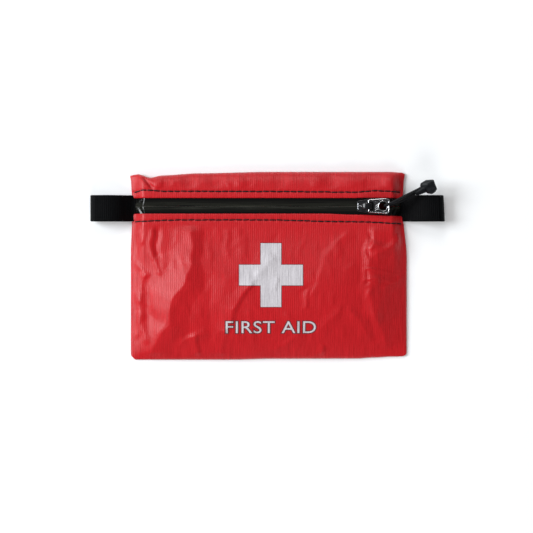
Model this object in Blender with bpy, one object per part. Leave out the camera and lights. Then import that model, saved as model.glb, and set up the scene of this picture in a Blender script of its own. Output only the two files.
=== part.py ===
"""A flat zippered first aid pouch, lying on its back with its printed front up.

Metres, +Z up. The origin is the centre of the back panel's underside, the pouch's top edge is towards +Y,
and the zip runs along X. Every sub-part is one named object with its own material.
"""

import math

import bmesh
import bpy
from mathutils import Vector

MM = 0.001

# ---- driving dimensions (millimetres) ----
HALF_LENGTH = 79.0        # pouch, half of its width along X
HALF_HEIGHT = 53.6        # pouch, half of its height along Y
FABRIC = 0.6              # laminated sailcloth with its film, as one wall
GAP = 0.3                 # clearance kept between touching pieces
BACK = 0.5                # back panel thickness
RIM = BACK + GAP          # underside of the front at the side seams and the bottom fold
RIM_AT_ZIP = 1.6          # underside of the front where the tape's ends are sewn in
CROWN = 13.4              # top of the front over the contents
CROWN_Y = -12.0           # where the front is highest

ZIP_Y = 34.0              # centre line of the zip
WINDOW_LOW = 29.2         # front panel's folded edge
WINDOW_HIGH = 38.8        # header strip's folded edge
TAPE_TOP = 6.5            # face of the zip tape along its flat stretch
TAPE = 0.5
TAPE_LOW = 24.2           # outer edge of the lower tape
TAPE_HIGH = 43.8          # outer edge of the upper tape
ZIP_FLAT_END = 71.0       # the stiff zip stays level up to here, then dips into the side seam
TAPE_END = 77.6
STITCH_LOW_Y = 25.8
STITCH_HIGH_Y = 42.5
THREAD = 0.5

COIL = 1.3                # coil height, and nearly its width
COIL_TOP = TAPE_TOP - TAPE - 0.1
COIL_END = 69.0
TAPES_PART_FROM = 53.0    # inside the slider the two tapes leave each other here
TAPES_PART_TO = 60.0
PARTED = 1.65             # half the gap between the tapes beyond the slider

SLIDER_LEFT = 50.4
SLIDER_RIGHT = 62.4
SLIDER_HALF = 4.3
SLIDER_LOW = 3.0
PLATE = 1.3
TOP_PLATE_LOW = TAPE_TOP + GAP
TOP_PLATE_HIGH = TOP_PLATE_LOW + PLATE
BOTTOM_PLATE_HIGH = SLIDER_LOW + PLATE

PIVOT_X = 55.9            # hinge axis of the puller, along Y
PIVOT_Z = 9.2
PULLER = 1.2              # thickness
PULLER_END = 69.0
CROWN_SEAT = 0.1          # the cap stands this far off the slider's top plate

CORD = 1.5                # cord diameter
CORD_END_AT = (90.9, 45.0, 11.3)
CORD_END_DEPTH = 6.0

WEB_WIDTH = 15.0          # webbing of the side loops
WEB = 1.2
WEB_Y = 32.85             # centre of both loops
WEB_ROOT = 79.4
WEB_BEND_X = 96.25        # centre of the loop's outer bend
WEB_BEND_Z = 4.6
WEB_BEND = 4.4            # outer radius of the bend


DIPS = [ZIP_FLAT_END, 73.0, 75.0, 77.0, HALF_LENGTH]    # where every sheet bends on its way into the seam


# ---- small helpers ----
def clear_scene():
    for obj in list(bpy.data.objects):
        bpy.data.objects.remove(obj, do_unlink=True)


def material(name, colour, roughness, metallic=0.0):
    """A Principled material with one colour, roughness and metallic value."""
    made = bpy.data.materials.new(name)
    made.use_nodes = True
    shader = made.node_tree.nodes["Principled BSDF"]
    shader.inputs["Base Color"].default_value = (*colour, 1.0)
    shader.inputs["Roughness"].default_value = roughness
    shader.inputs["Metallic"].default_value = metallic
    made.diffuse_color = (*colour, 1.0)
    return made


def finish(name, bm, made_of, origin=(0.0, 0.0, 0.0)):
    """Turns a bmesh drawn in millimetres into an object whose origin is at the given point."""
    bmesh.ops.recalc_face_normals(bm, faces=bm.faces)
    bmesh.ops.translate(bm, verts=bm.verts, vec=-Vector(origin))
    bmesh.ops.scale(bm, verts=bm.verts, vec=(MM, MM, MM))
    mesh = bpy.data.meshes.new(name)
    bm.to_mesh(mesh)
    bm.free()
    mesh.materials.append(made_of)
    obj = bpy.data.objects.new(name, mesh)
    obj.location = Vector(origin) * MM
    bpy.context.scene.collection.objects.link(obj)
    return obj


def smooth_step(t):
    t = min(max(t, 0.0), 1.0)
    return t * t * (3.0 - 2.0 * t)


def arc(centre, radius, start, end, steps):
    """Points on an arc, angles in degrees."""
    turn = [math.radians(start + (end - start) * i / steps) for i in range(steps + 1)]
    return [(centre[0] + radius * math.cos(a), centre[1] + radius * math.sin(a)) for a in turn]


def extrude_outline(outline, low, high):
    """A closed prism over an outline in the XY plane."""
    bm = bmesh.new()
    base = bm.faces.new([bm.verts.new((x, y, low)) for x, y in outline])
    raised = bmesh.ops.extrude_face_region(bm, geom=[base])
    up = [v for v in raised["geom"] if isinstance(v, bmesh.types.BMVert)]
    bmesh.ops.translate(bm, verts=up, vec=(0.0, 0.0, high - low))
    return bm


def cut(obj, cutter_bm, name):
    """Subtracts a cutter, which stays in the scene as a hidden guide."""
    cutter = finish(name, cutter_bm, obj.data.materials[0])
    cutter.hide_render = True
    cutter.display_type = "WIRE"
    boolean = obj.modifiers.new(name, "BOOLEAN")
    boolean.operation = "DIFFERENCE"
    boolean.solver = "EXACT"
    boolean.object = cutter


def soften(obj, width, segments=1):
    bevel = obj.modifiers.new("rounded", "BEVEL")
    bevel.width = width * MM
    bevel.segments = segments
    bevel.limit_method = "ANGLE"
    bevel.angle_limit = math.radians(40.0)


def spread(low, high, steps):
    return [low + (high - low) * i / steps for i in range(steps + 1)]


def wall(name, columns, rows, surface, thickness, made_of):
    """A sheet whose upper face is surface(column, row) -> (x, y, z), with its underside straight below."""
    bm = bmesh.new()
    top = [[bm.verts.new(surface(c, r)) for r in rows] for c in columns]
    under = [[bm.verts.new(Vector(v.co) - Vector((0, 0, thickness))) for v in line] for line in top]
    for i in range(len(columns) - 1):
        for j in range(len(rows) - 1):
            bm.faces.new((top[i][j], top[i + 1][j], top[i + 1][j + 1], top[i][j + 1]))
            bm.faces.new((under[i][j], under[i][j + 1], under[i + 1][j + 1], under[i + 1][j]))
    last_i, last_j = len(columns) - 1, len(rows) - 1
    for i in range(last_i):
        for j, flip in ((0, False), (last_j, True)):
            side = (top[i][j], under[i][j], under[i + 1][j], top[i + 1][j])
            bm.faces.new(side[::-1] if flip else side)
    for j in range(last_j):
        for i, flip in ((0, True), (last_i, False)):
            side = (top[i][j], under[i][j], under[i][j + 1], top[i][j + 1])
            bm.faces.new(side[::-1] if flip else side)
    return finish(name, bm, made_of)


def tube(name, route, diameter, sides_level, made_of):
    """A cord or thread along a route of points in millimetres."""
    curve = bpy.data.curves.new(name, "CURVE")
    curve.dimensions = "3D"
    curve.bevel_depth = diameter / 2 * MM
    curve.bevel_resolution = sides_level
    curve.use_fill_caps = True
    spline = curve.splines.new("POLY")
    spline.points.add(len(route) - 1)
    for point, place in zip(spline.points, route):
        point.co = (*(Vector(place) * MM), 1.0)
    curve.materials.append(made_of)
    obj = bpy.data.objects.new(name, curve)
    bpy.context.scene.collection.objects.link(obj)
    return obj


# ---- the shape of the pouch ----
def zip_level(x):
    """1 along the level stretch of the zip, falling to 0 at the side seams."""
    return 1.0 - smooth_step((abs(x) - ZIP_FLAT_END) / (HALF_LENGTH - 0.5 - ZIP_FLAT_END))


def lip_height(x):
    """Top of the fabric along both edges of the zip window."""
    low = RIM_AT_ZIP + FABRIC
    return low + (TAPE_TOP + GAP + FABRIC - low) * zip_level(x)


def edge_height(y):
    """Top of the fabric at the side seams: a little higher where the tape's ends are sewn in."""
    near_zip = 1.0 - smooth_step((abs(y - ZIP_Y) - 11.0) / 8.0)
    return RIM + FABRIC + (RIM_AT_ZIP - RIM) * near_zip


def swell(x):
    """How far the front is pushed out across the pouch: 1 in the middle, 0 at the side seams."""
    return (1.0 - min(abs(x) / HALF_LENGTH, 1.0) ** 3) ** 0.75


def front_height(x, y):
    """Top of the front panel: a level lip at the zip, a crown over the contents, a fold at the bottom."""
    edge = edge_height(y)
    crown = edge + (CROWN - edge) * swell(x)
    if y <= CROWN_Y:
        along = (y + HALF_HEIGHT) / (CROWN_Y + HALF_HEIGHT)
        return edge + (crown - edge) * math.sin(math.pi / 2 * along) ** 0.7
    toward_lip = smooth_step((y - CROWN_Y) / (TAPE_LOW - 1.0 - CROWN_Y))
    return crown + (lip_height(x) - crown) * toward_lip


def header_height(x, y):
    """Top of the header strip: level over the tape, then rolling down to the top fold."""
    if y <= TAPE_HIGH + 0.8:
        return lip_height(x)
    down = (y - TAPE_HIGH - 0.8) / (HALF_HEIGHT - TAPE_HIGH - 0.8)
    low = edge_height(y)
    return low + (lip_height(x) - low) * math.sqrt(max(1.0 - down * down, 0.0))


def tape_parting(x):
    """Half the gap between the two tapes: closed left of the slider, open right of it."""
    opened = smooth_step((x - TAPES_PART_FROM) / (TAPES_PART_TO - TAPES_PART_FROM))
    return 0.15 + (PARTED - 0.15) * opened


# ---- the shell ----
def back_panel(red):
    corner = 2.2
    outline = []
    for sx, sy, start in ((1, 1, 0), (-1, 1, 90), (-1, -1, 180), (1, -1, 270)):
        centre = (sx * (HALF_LENGTH - corner), sy * (HALF_HEIGHT - corner))
        outline += arc(centre, corner, start, start + 90, 3)
    finish("back_panel", extrude_outline(outline, 0.0, BACK), red)


def front_panel(red):
    middle = spread(-57.0, 57.0, 12)
    columns = [-x for x in reversed(DIPS)] + [-65.0] + middle + [65.0] + DIPS
    rows = [-53.6, -52.2, -50.0, -46.0, -40.0, -33.0, -24.0, -12.0, -2.0, 6.0, 12.0, 18.0, 23.2, WINDOW_LOW]
    wall("front_panel", columns, rows, lambda x, y: (x, y, front_height(x, y)), FABRIC, red)


def header_strip(red):
    columns = [-x for x in reversed(DIPS)] + spread(-50.0, 50.0, 4) + DIPS
    rows = [WINDOW_HIGH, 44.6, 47.6, 50.2, 52.2, 53.3, HALF_HEIGHT]
    wall("header_strip", columns, rows, lambda x, y: (x, y, header_height(x, y)), FABRIC, red)


# ---- the zip ----
def zip_columns(end):
    """Places along the zip: the level stretch, the parting inside the slider, and the dips at the ends."""
    dips = [x for x in DIPS if x < end] + [end]
    parting = [TAPES_PART_FROM + i for i in range(8)]
    return [-x for x in reversed(dips)] + spread(-50.0, 50.0, 4) + parting + dips


def zip_drop(x):
    """How far the tape has dipped below its level stretch."""
    return (TAPE_TOP - (RIM_AT_ZIP - GAP)) * (1.0 - zip_level(x))


def zipper_tape(name, side, outer, black):
    """One half of the tape. side is +1 for the upper half, -1 for the lower."""
    def surface(x, share):
        inner = ZIP_Y + side * tape_parting(x)
        return x, inner + (outer - inner) * share, TAPE_TOP - zip_drop(x)
    shares = (0.0, 0.5, 1.0) if side > 0 else (1.0, 0.5, 0.0)
    wall(name, zip_columns(TAPE_END), shares, surface, TAPE, black)


def zipper_coil(name, side, black):
    """One half of the coil, as a bar of its outer size under the tape's inner edge."""
    def surface(x, share):
        y = ZIP_Y + side * (tape_parting(x) + 0.05 + COIL * share)
        return x, y, COIL_TOP
    shares = (0.0, 1.0) if side > 0 else (1.0, 0.0)
    wall(name, zip_columns(COIL_END), shares, surface, COIL, black)


def topstitch(name, y, height_at, black):
    """A row of topstitching as one thread lying along the fabric."""
    columns = [x for x in zip_columns(TAPE_END - 0.6) if not TAPES_PART_FROM < x < TAPES_PART_TO + 0.5]
    tube(name, [(x, y, height_at(x, y) + GAP + THREAD / 2) for x in columns], THREAD, 1, black)


# ---- the slider ----
def slider_outline(grow=0.0):
    """Plan of the slider's plates: straight at the narrow mouth, shouldered at the wide one."""
    left, right, half = SLIDER_LEFT - grow, SLIDER_RIGHT + grow, SLIDER_HALF + grow
    low_side = [(left, -2.6), (left + 0.6, -3.1), (left + 4.5, -3.7), (left + 7.5, -half)]
    low_side += [(right - 1.6, -half), (right, -half + 1.6)]
    high_side = [(x, -y) for x, y in reversed(low_side)]
    return [(x, y + ZIP_Y) for x, y in low_side + high_side]


def slider_body(grey):
    """Two plates joined by the wedge that parts the tapes, with flanges that hold the coils."""
    body = finish("slider_body", extrude_outline(slider_outline(), SLIDER_LOW, TOP_PLATE_HIGH), grey)
    wedge = [(58.6, 0.0), (59.6, 0.75), (61.2, 1.0), (SLIDER_RIGHT + 1.0, 1.0)]
    side_channel = [(SLIDER_LEFT - 1.0, -0.02), (57.6, -0.02)]
    floor = BOTTOM_PLATE_HIGH
    for side, name in ((1, "channel_cutter_upper"), (-1, "channel_cutter_lower")):
        inner = [(x, side * y + ZIP_Y) for x, y in side_channel + wedge]
        coil_way = inner + [(SLIDER_RIGHT + 1.0, ZIP_Y + side * 3.6), (SLIDER_LEFT - 1.0, ZIP_Y + side * 2.5)]
        cut(body, extrude_outline(coil_way, floor, TOP_PLATE_LOW), name)
        tape_way = inner + [(SLIDER_RIGHT + 1.0, ZIP_Y + side * 7.0), (SLIDER_LEFT - 1.0, ZIP_Y + side * 7.0)]
        cut(body, extrude_outline(tape_way, TAPE_TOP - TAPE - 0.35, TOP_PLATE_LOW), name + "_slit")


def slider_crown(grey):
    """The domed cap on the slider that holds the puller's bar and the lock spring."""
    low, high = TOP_PLATE_HIGH + CROWN_SEAT, 11.9
    side_view = [(52.9, low), (54.2, low), (54.2, 10.6), (54.7, 11.0), (57.7, 11.0), (58.2, 10.6)]
    side_view += [(58.2, low), (59.2, low), (59.0, 10.4), (58.0, 11.6), (56.0, high), (54.2, 11.6), (53.1, 10.4)]
    bm = bmesh.new()
    half = 1.9
    base = bm.faces.new([bm.verts.new((x, ZIP_Y - half, z)) for x, z in side_view])
    raised = bmesh.ops.extrude_face_region(bm, geom=[base])
    moved = [v for v in raised["geom"] if isinstance(v, bmesh.types.BMVert)]
    bmesh.ops.translate(bm, verts=moved, vec=(0.0, 2 * half, 0.0))
    finish("slider_crown", bm, grey)


def lock_spring(steel):
    """The leaf inside the cap whose tip drops between the coil's turns when the puller lies flat."""
    side_view = [(54.5, 10.35), (57.2, 10.35), (57.2, 8.4), (57.5, 8.4), (57.5, 10.65), (54.5, 10.65)]
    bm = bmesh.new()
    base = bm.faces.new([bm.verts.new((x, ZIP_Y - 0.6, z)) for x, z in side_view])
    raised = bmesh.ops.extrude_face_region(bm, geom=[base])
    moved = [v for v in raised["geom"] if isinstance(v, bmesh.types.BMVert)]
    bmesh.ops.translate(bm, verts=moved, vec=(0.0, 1.2, 0.0))
    finish("lock_spring", bm, steel)


def puller_tab(nickel):
    """A flat tab with a bar for the cap, a web in the middle and an eye for the cord. Its origin is on its hinge."""
    pivot = (PIVOT_X, ZIP_Y, PIVOT_Z)
    low, high = PIVOT_Z - PULLER / 2, PIVOT_Z + PULLER / 2
    half_end, half_bar = 4.5, 3.3
    edge = [(PIVOT_X - 0.6, -half_bar + 0.7), (PIVOT_X, -half_bar), (PIVOT_X + 4.0, -half_bar - 0.6)]
    edge += arc((PULLER_END - 1.9, -half_end + 1.9), 1.9, 280, 350, 4)
    edge += [(x, -y) for x, y in reversed(edge)]
    tab = finish("puller_tab", extrude_outline([(x, y + ZIP_Y) for x, y in edge], low, high), nickel, pivot)
    bar = 1.2
    window = [(PIVOT_X + bar / 2, -2.4), (PIVOT_X + 3.4, -2.4), (PIVOT_X + 4.0, -1.6)]
    window += [(x, -y) for x, y in reversed(window)]
    cut(tab, extrude_outline([(x, y + ZIP_Y) for x, y in window], low - 1.0, high + 1.0), "cap_window_cutter")
    eye = [(x, y * 1.15 + ZIP_Y) for x, y in arc((65.2, 0.0), 2.3, 0, 348, 29)[::2]]
    cut(tab, extrude_outline(eye, low - 1.0, high + 1.0), "eye_cutter")


# ---- the pull cord ----
def curve_through(route, per_span):
    """Points of a smooth Catmull-Rom curve through the route."""
    ends = [Vector(p) for p in route]
    ends = [2 * ends[0] - ends[1]] + ends + [2 * ends[-1] - ends[-2]]
    found = []
    for a, b, c, d in zip(ends, ends[1:], ends[2:], ends[3:]):
        for i in range(per_span):
            t = i / per_span
            found.append(0.5 * (2 * b + (c - a) * t + (2 * a - 5 * b + 4 * c - d) * t**2 + (3 * b - a - 3 * c + d) * t**3))
    return found + [ends[-2]]


def cord_route():
    """One strand over the end of the puller, through its eye, and back under it to the moulded end."""
    return [
        (86.3, 44.1, 12.1), (82.6, 42.2, 12.0), (78.8, 40.3, 11.7), (75.0, 38.4, 11.4), (71.8, 36.8, 11.2),
        (69.2, 35.5, 11.0), (67.1, 34.7, 10.75), (66.15, 34.3, 9.2), (66.9, 34.1, 7.75), (69.2, 34.7, 7.5),
        (71.8, 35.5, 7.9), (75.2, 36.8, 8.7), (79.2, 38.8, 9.6), (83.1, 41.0, 10.2), (87.0, 42.9, 10.5),
    ]


def pull_cord(black):
    tube("pull_cord", curve_through(cord_route(), 2), CORD, 2, black)


def cord_end(grey):
    """The moulded grip on the cord's two ends: a faceted block, turned to the cord's direction."""
    around = [(-4.0, 1.3), (-4.1, 2.7), (-3.0, 3.8), (0.3, 4.1), (4.3, 2.3), (3.7, -3.4), (2.0, -4.4), (-0.2, -4.7),
              (-2.4, -3.0), (-2.8, -0.9)]
    turn = math.radians(27.0)
    x0, y0, z0 = CORD_END_AT
    outline = [(x0 + u * math.cos(turn) - v * math.sin(turn), y0 + u * math.sin(turn) + v * math.cos(turn))
               for u, v in around]
    block = finish("cord_end", extrude_outline(outline, z0 - CORD_END_DEPTH / 2, z0 + CORD_END_DEPTH / 2), grey)
    soften(block, 0.9)


# ---- the webbing loops ----
def web_loop(name, side, black):
    """A strip of webbing folded into a teardrop, seen from its edge and carried across its width."""
    centre = (WEB_BEND_X, WEB_BEND_Z)
    low, high = WEB_BEND_Z - WEB_BEND, WEB_BEND_Z + WEB_BEND
    outer = [(WEB_ROOT, low + 0.3)] + arc(centre, WEB_BEND, -90, 90, 7) + [(WEB_ROOT, 2.9)]
    inner = arc(centre, WEB_BEND - WEB, 90, -90, 7) + [(84.5, low + WEB), (83.6, low + WEB + 0.5), (85.2, 3.8)]
    bm = bmesh.new()
    rings = []
    for y in (WEB_Y - WEB_WIDTH / 2, WEB_Y + WEB_WIDTH / 2):
        edges = []
        for ring in (outer, inner):
            verts = [bm.verts.new((side * x, y, z)) for x, z in ring]
            edges += [bm.edges.new((a, b)) for a, b in zip(verts, verts[1:] + verts[:1])]
            rings.append(verts)
        bmesh.ops.triangle_fill(bm, edges=edges, use_beauty=True)
    for near, far in ((rings[0], rings[2]), (rings[1], rings[3])):
        for a, b, c, d in zip(near, near[1:] + near[:1], far[1:] + far[:1], far):
            bm.faces.new((a, b, c, d))
    finish(name, bm, black, (side * WEB_ROOT, WEB_Y, 2.9))


# ---- the contents ----
def packet(name, low, size, made_of, round_by=0.6):
    """A flat packet: a block with softened edges, from its lowest corner and its size."""
    x, y, z = low
    a, b, c = size
    outline = [(x, y), (x + a, y), (x + a, y + b), (x, y + b)]
    soften(finish(name, extrude_outline(outline, z, z + c), made_of), round_by)


def contents(paper, plaster, foil, cotton):
    floor = BACK + GAP
    packet("gauze_sachet", (-62.0, -40.0, floor), (72.0, 52.0, 2.0), paper)
    packet("dressing_pack", (-54.0, -34.0, floor + 2.3), (58.0, 44.0, 2.2), paper)
    packet("bandage_pack", (14.0, -40.0, floor), (48.0, 22.0, 4.6), cotton, 1.4)
    for i in range(2):
        packet(f"wipe_sachet_{i + 1}", (14.0 + i, -15.0 - i, floor + i * 1.5), (46.0, 34.0, 1.2), foil, 0.35)
    for i in range(3):
        packet(f"plaster_{i + 1}", (18.0 + 1.5 * i, -10.0 + 2.0 * i, floor + 3.0 + i * 1.0), (36.0, 19.0, 0.7), plaster, 0.2)


def main():
    clear_scene()
    red = material("red_sailcloth", (0.55, 0.035, 0.04), 0.42)
    red_back = material("red_sailcloth_back", (0.52, 0.033, 0.038), 0.42)
    black_tape = material("coated_tape", (0.018, 0.019, 0.017), 0.35)
    coil_black = material("coil_polyester", (0.012, 0.012, 0.012), 0.5)
    thread_black = material("thread", (0.01, 0.01, 0.011), 0.7)
    painted = material("slider_paint", (0.012, 0.012, 0.013), 0.3, 0.4)
    steel = material("spring_steel", (0.5, 0.5, 0.5), 0.3, 1.0)
    nickel = material("polished_nickel", (0.78, 0.79, 0.82), 0.14, 1.0)
    webbing = material("webbing", (0.013, 0.014, 0.015), 0.75)
    cord_black = material("cord", (0.012, 0.012, 0.012), 0.8)
    moulded = material("moulded_grip", (0.035, 0.04, 0.048), 0.4)
    paper = material("sachet_paper", (0.82, 0.83, 0.82), 0.7)
    plaster = material("plaster_wrap", (0.75, 0.62, 0.48), 0.6)
    foil = material("wipe_foil", (0.7, 0.74, 0.8), 0.3, 0.6)
    cotton = material("bandage_wrap", (0.85, 0.82, 0.74), 0.8)

    back_panel(red_back)
    front_panel(red)
    header_strip(red)
    zipper_tape("zipper_tape_upper", 1, TAPE_HIGH, black_tape)
    zipper_tape("zipper_tape_lower", -1, TAPE_LOW, black_tape)
    zipper_coil("zipper_coil_upper", 1, coil_black)
    zipper_coil("zipper_coil_lower", -1, coil_black)
    topstitch("topstitch_upper", STITCH_HIGH_Y, header_height, thread_black)
    topstitch("topstitch_lower", STITCH_LOW_Y, front_height, thread_black)
    slider_body(painted)
    slider_crown(painted)
    lock_spring(steel)
    puller_tab(nickel)
    pull_cord(cord_black)
    cord_end(moulded)
    web_loop("web_loop_left", -1, webbing)
    web_loop("web_loop_right", 1, webbing)
    contents(paper, plaster, foil, cotton)


main()
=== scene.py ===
# %% [markdown]
# A flat first aid pouch in red laminated sailcloth, lying on its back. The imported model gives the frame: every
# body, every joint and the size of every hard part. This script dresses that frame. Lengths are typed in
# millimetres, because a sewing pattern is, and turned into metres when a mesh is made.

# %% Load the frame
import math

import bmesh
import bpy
import numpy as np
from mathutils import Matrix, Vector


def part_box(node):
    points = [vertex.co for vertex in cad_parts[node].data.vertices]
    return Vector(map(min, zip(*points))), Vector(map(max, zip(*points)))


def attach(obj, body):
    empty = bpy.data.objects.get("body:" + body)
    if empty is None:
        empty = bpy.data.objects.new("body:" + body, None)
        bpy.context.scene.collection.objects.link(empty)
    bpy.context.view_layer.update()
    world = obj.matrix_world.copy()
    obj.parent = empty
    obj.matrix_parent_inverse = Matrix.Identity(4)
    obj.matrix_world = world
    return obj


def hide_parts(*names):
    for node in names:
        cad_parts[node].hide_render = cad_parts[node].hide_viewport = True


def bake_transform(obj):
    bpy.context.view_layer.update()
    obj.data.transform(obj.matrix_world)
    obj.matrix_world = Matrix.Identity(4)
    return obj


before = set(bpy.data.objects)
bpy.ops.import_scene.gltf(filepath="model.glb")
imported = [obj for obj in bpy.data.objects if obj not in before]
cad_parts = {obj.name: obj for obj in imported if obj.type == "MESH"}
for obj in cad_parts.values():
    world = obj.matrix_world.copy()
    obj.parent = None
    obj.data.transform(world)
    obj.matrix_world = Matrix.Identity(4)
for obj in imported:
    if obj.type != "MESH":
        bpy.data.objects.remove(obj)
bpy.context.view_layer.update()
MM = 0.001


def box_mm(node):
    """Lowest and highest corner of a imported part, in millimetres."""
    low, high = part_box(node)
    return np.array(low) / MM, np.array(high) / MM


# %% [markdown]
# The camera hangs straight above the pouch with a long lens, so the outline shows almost no perspective. The
# light is a big soft source on the left and a weaker one at the top. Two reflector cards, at the right and the
# front, lift the shadows and are kept out of the gloss. The room's strength is ROOM_LIGHT, and ROOM_TO_CAMERA more
# where the camera sees it, so the backdrop is nearly white and the cloth gets only a little of its light.

# %% Camera, lights and room
def aim_light(name, place, target, size, watts, colour=(1.0, 1.0, 1.0), glossy=True):
    """A square soft light at place, facing target. A reflector card is kept out of the gloss."""
    light = bpy.data.lights.new(name, "AREA")
    light.shape, light.size, light.energy, light.color = "SQUARE", size, watts, colour
    lamp = bpy.data.objects.new(name, light)
    way = np.array(target, float) - np.array(place, float)
    lamp.location = place
    lamp.visible_glossy = glossy
    lamp.rotation_mode = "QUATERNION"
    lamp.rotation_quaternion = Vector(way).to_track_quat("-Z", "Y")
    bpy.context.scene.collection.objects.link(lamp)


# VIEW_WIDTH is seen across the picture at VIEW_LEVEL above the floor. These are metres.
CAMERA_HEIGHT, VIEW_WIDTH, VIEW_LEVEL, SENSOR = 1.5, 0.3038, 0.006, 0.036
CAMERA_X, CAMERA_Y, ROOM_TO_CAMERA, ROOM_LIGHT = -0.00114, -0.00034, 0.85, 0.08
camera_data = bpy.data.cameras.new("camera")
camera_data.sensor_width = SENSOR / MM
camera_data.lens = SENSOR / MM * (CAMERA_HEIGHT - VIEW_LEVEL) / VIEW_WIDTH
camera = bpy.data.objects.new("camera", camera_data)
camera.location = (CAMERA_X, CAMERA_Y, CAMERA_HEIGHT)
bpy.context.scene.collection.objects.link(camera)
bpy.context.scene.camera = camera

aim_light("window_left", (-1.25, 0.30, 0.95), (0, 0, 0), 0.9, 31.0, (0.93, 0.97, 1.0))
aim_light("window_top", (-0.20, 1.35, 0.95), (0, 0, 0), 0.8, 9.0)
aim_light("reflector_right", (1.40, -0.30, 0.80), (0, 0, 0), 0.9, 6.0, glossy=False)
aim_light("reflector_front", (0.10, -1.40, 0.80), (0, 0, 0), 0.9, 12.0, glossy=False)

world = bpy.data.worlds.new("room")
world.use_nodes = True
room = world.node_tree.nodes["Background"]
room.inputs["Color"].default_value = (1.0, 1.0, 1.0, 1.0)
ray = world.node_tree.nodes.new("ShaderNodeLightPath")
shown = world.node_tree.nodes.new("ShaderNodeMath")
shown.operation = "MULTIPLY_ADD"
shown.inputs[1].default_value, shown.inputs[2].default_value = ROOM_TO_CAMERA, ROOM_LIGHT
world.node_tree.links.new(ray.outputs["Is Camera Ray"], shown.inputs[0])
world.node_tree.links.new(shown.outputs[0], room.inputs["Strength"])
bpy.context.scene.world = world
bpy.context.scene.view_settings.view_transform = "Standard"


# %% [markdown]
# A few small tools make every mesh. One turns a grid of points into faces. One carries a closed profile along a
# path, which gives cords, coils and straps. Others draw a smooth line through a few points, either as a curve in
# space or as a value that eases from one pattern point to the next.

# %% Mesh tools
def ease(t):
    """Smooth step: 0 up to 0, 1 from 1, with 3t^2 - 2t^3 between."""
    t = np.clip(t, 0.0, 1.0)
    return t * t * (3.0 - 2.0 * t)


def through(x, places, values):
    """A smooth line through pattern points: between two of them it eases from one value to the next."""
    x, places, values = np.asarray(x, float), np.asarray(places, float), np.asarray(values, float)
    k = np.clip(np.searchsorted(places, x) - 1, 0, len(places) - 2)
    share = ease((x - places[k]) / (places[k + 1] - places[k]))
    return values[k] + (values[k + 1] - values[k]) * share


def signed_volume(points, quads):
    """Six times the volume inside a closed surface: the sum of a.(b x c) over its triangles."""
    a, b, c, d = (points[quads[:, k]] for k in range(4))
    return (np.einsum("ij,ij->i", a, np.cross(b, c)) + np.einsum("ij,ij->i", a, np.cross(c, d))).sum()


def grid_faces(nu, nv, closed_u, closed_v, first=0):
    """Quads between the points of an nu by nv grid, joined round where it is closed."""
    i = np.arange(nu if closed_u else nu - 1)[:, None]
    j = np.arange(nv if closed_v else nv - 1)[None, :]
    a, b = i * nv + j, (i + 1) % nu * nv + j
    c, d = (i + 1) % nu * nv + (j + 1) % nv, i * nv + (j + 1) % nv
    return first + np.stack([a, b, c, d], -1).reshape(-1, 4)


def new_object(name, points, faces, uv=None, smooth=True):
    """An object at the origin from points in millimetres. uv gives each point its own pattern place."""
    mesh = bpy.data.meshes.new(name)
    mesh.from_pydata((np.asarray(points) * MM).tolist(), [], [list(map(int, f)) for f in faces])
    if uv is not None:
        corner = np.zeros(len(mesh.loops), np.int32)
        mesh.loops.foreach_get("vertex_index", corner)
        layer = mesh.uv_layers.new(name="pattern")
        layer.data.foreach_set("uv", np.asarray(uv, np.float32)[corner].ravel())
    mesh.polygons.foreach_set("use_smooth", np.full(len(mesh.polygons), smooth))
    mesh.update()
    made = bpy.data.objects.new(name, mesh)
    bpy.context.scene.collection.objects.link(made)
    return made


def sheet_object(name, points, uv=None):
    """A grid of points (columns, rows, 3) as an open sheet facing up."""
    nu, nv = points.shape[:2]
    return new_object(name, points.reshape(-1, 3), grid_faces(nu, nv, False, False), uv)


def carried(path, profile, across=None):
    """A profile (n, 2) carried along a path (m, 3): each path point plus the profile in the plane across the path.
    across is the direction that the profile's first axis keeps close to."""
    path = np.asarray(path, float)
    along = np.gradient(path, axis=0)
    along /= np.linalg.norm(along, axis=1, keepdims=True)
    first = np.broadcast_to(np.array((0.0, 0.0, 1.0) if across is None else across, float), path.shape)
    first = first - (first * along).sum(1, keepdims=True) * along
    first = first / np.linalg.norm(first, axis=1, keepdims=True)
    second = np.cross(along, first)
    return path[:, None] + profile[None, :, :1] * first[:, None] + profile[None, :, 1:] * second[:, None]


def tube_object(name, rings, closed=False, uv=None):
    """Rings of points (m, n, 3) as a closed skin, with a fan over each end unless the path is closed."""
    m, n = rings.shape[:2]
    points, faces = rings.reshape(-1, 3), grid_faces(m, n, closed, True)
    flipped = signed_volume(points, faces) < 0
    faces = faces[:, ::-1] if flipped else faces
    listed = faces.tolist()
    if not closed:
        ends = np.array([rings[0].mean(0), rings[-1].mean(0)])
        points = np.vstack([points, ends])
        k = np.arange(n)
        start = np.stack([np.full(n, m * n), (k + 1) % n, k], -1)
        end = np.stack([np.full(n, m * n + 1), (m - 1) * n + k, (m - 1) * n + (k + 1) % n], -1)
        caps = np.vstack([start, end])
        listed += (caps if not flipped else caps[:, ::-1]).tolist()
        if uv is not None:
            uv = np.vstack([uv, uv[:1], uv[-1:]])
    return new_object(name, points, listed, uv)


def round_profile(radius, sides=10, squash=1.0):
    """A circle of points, or an ellipse where squash isn't 1."""
    turn = np.arange(sides) * 2 * np.pi / sides
    return np.stack([radius * squash * np.cos(turn), radius * np.sin(turn)], -1)


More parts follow.
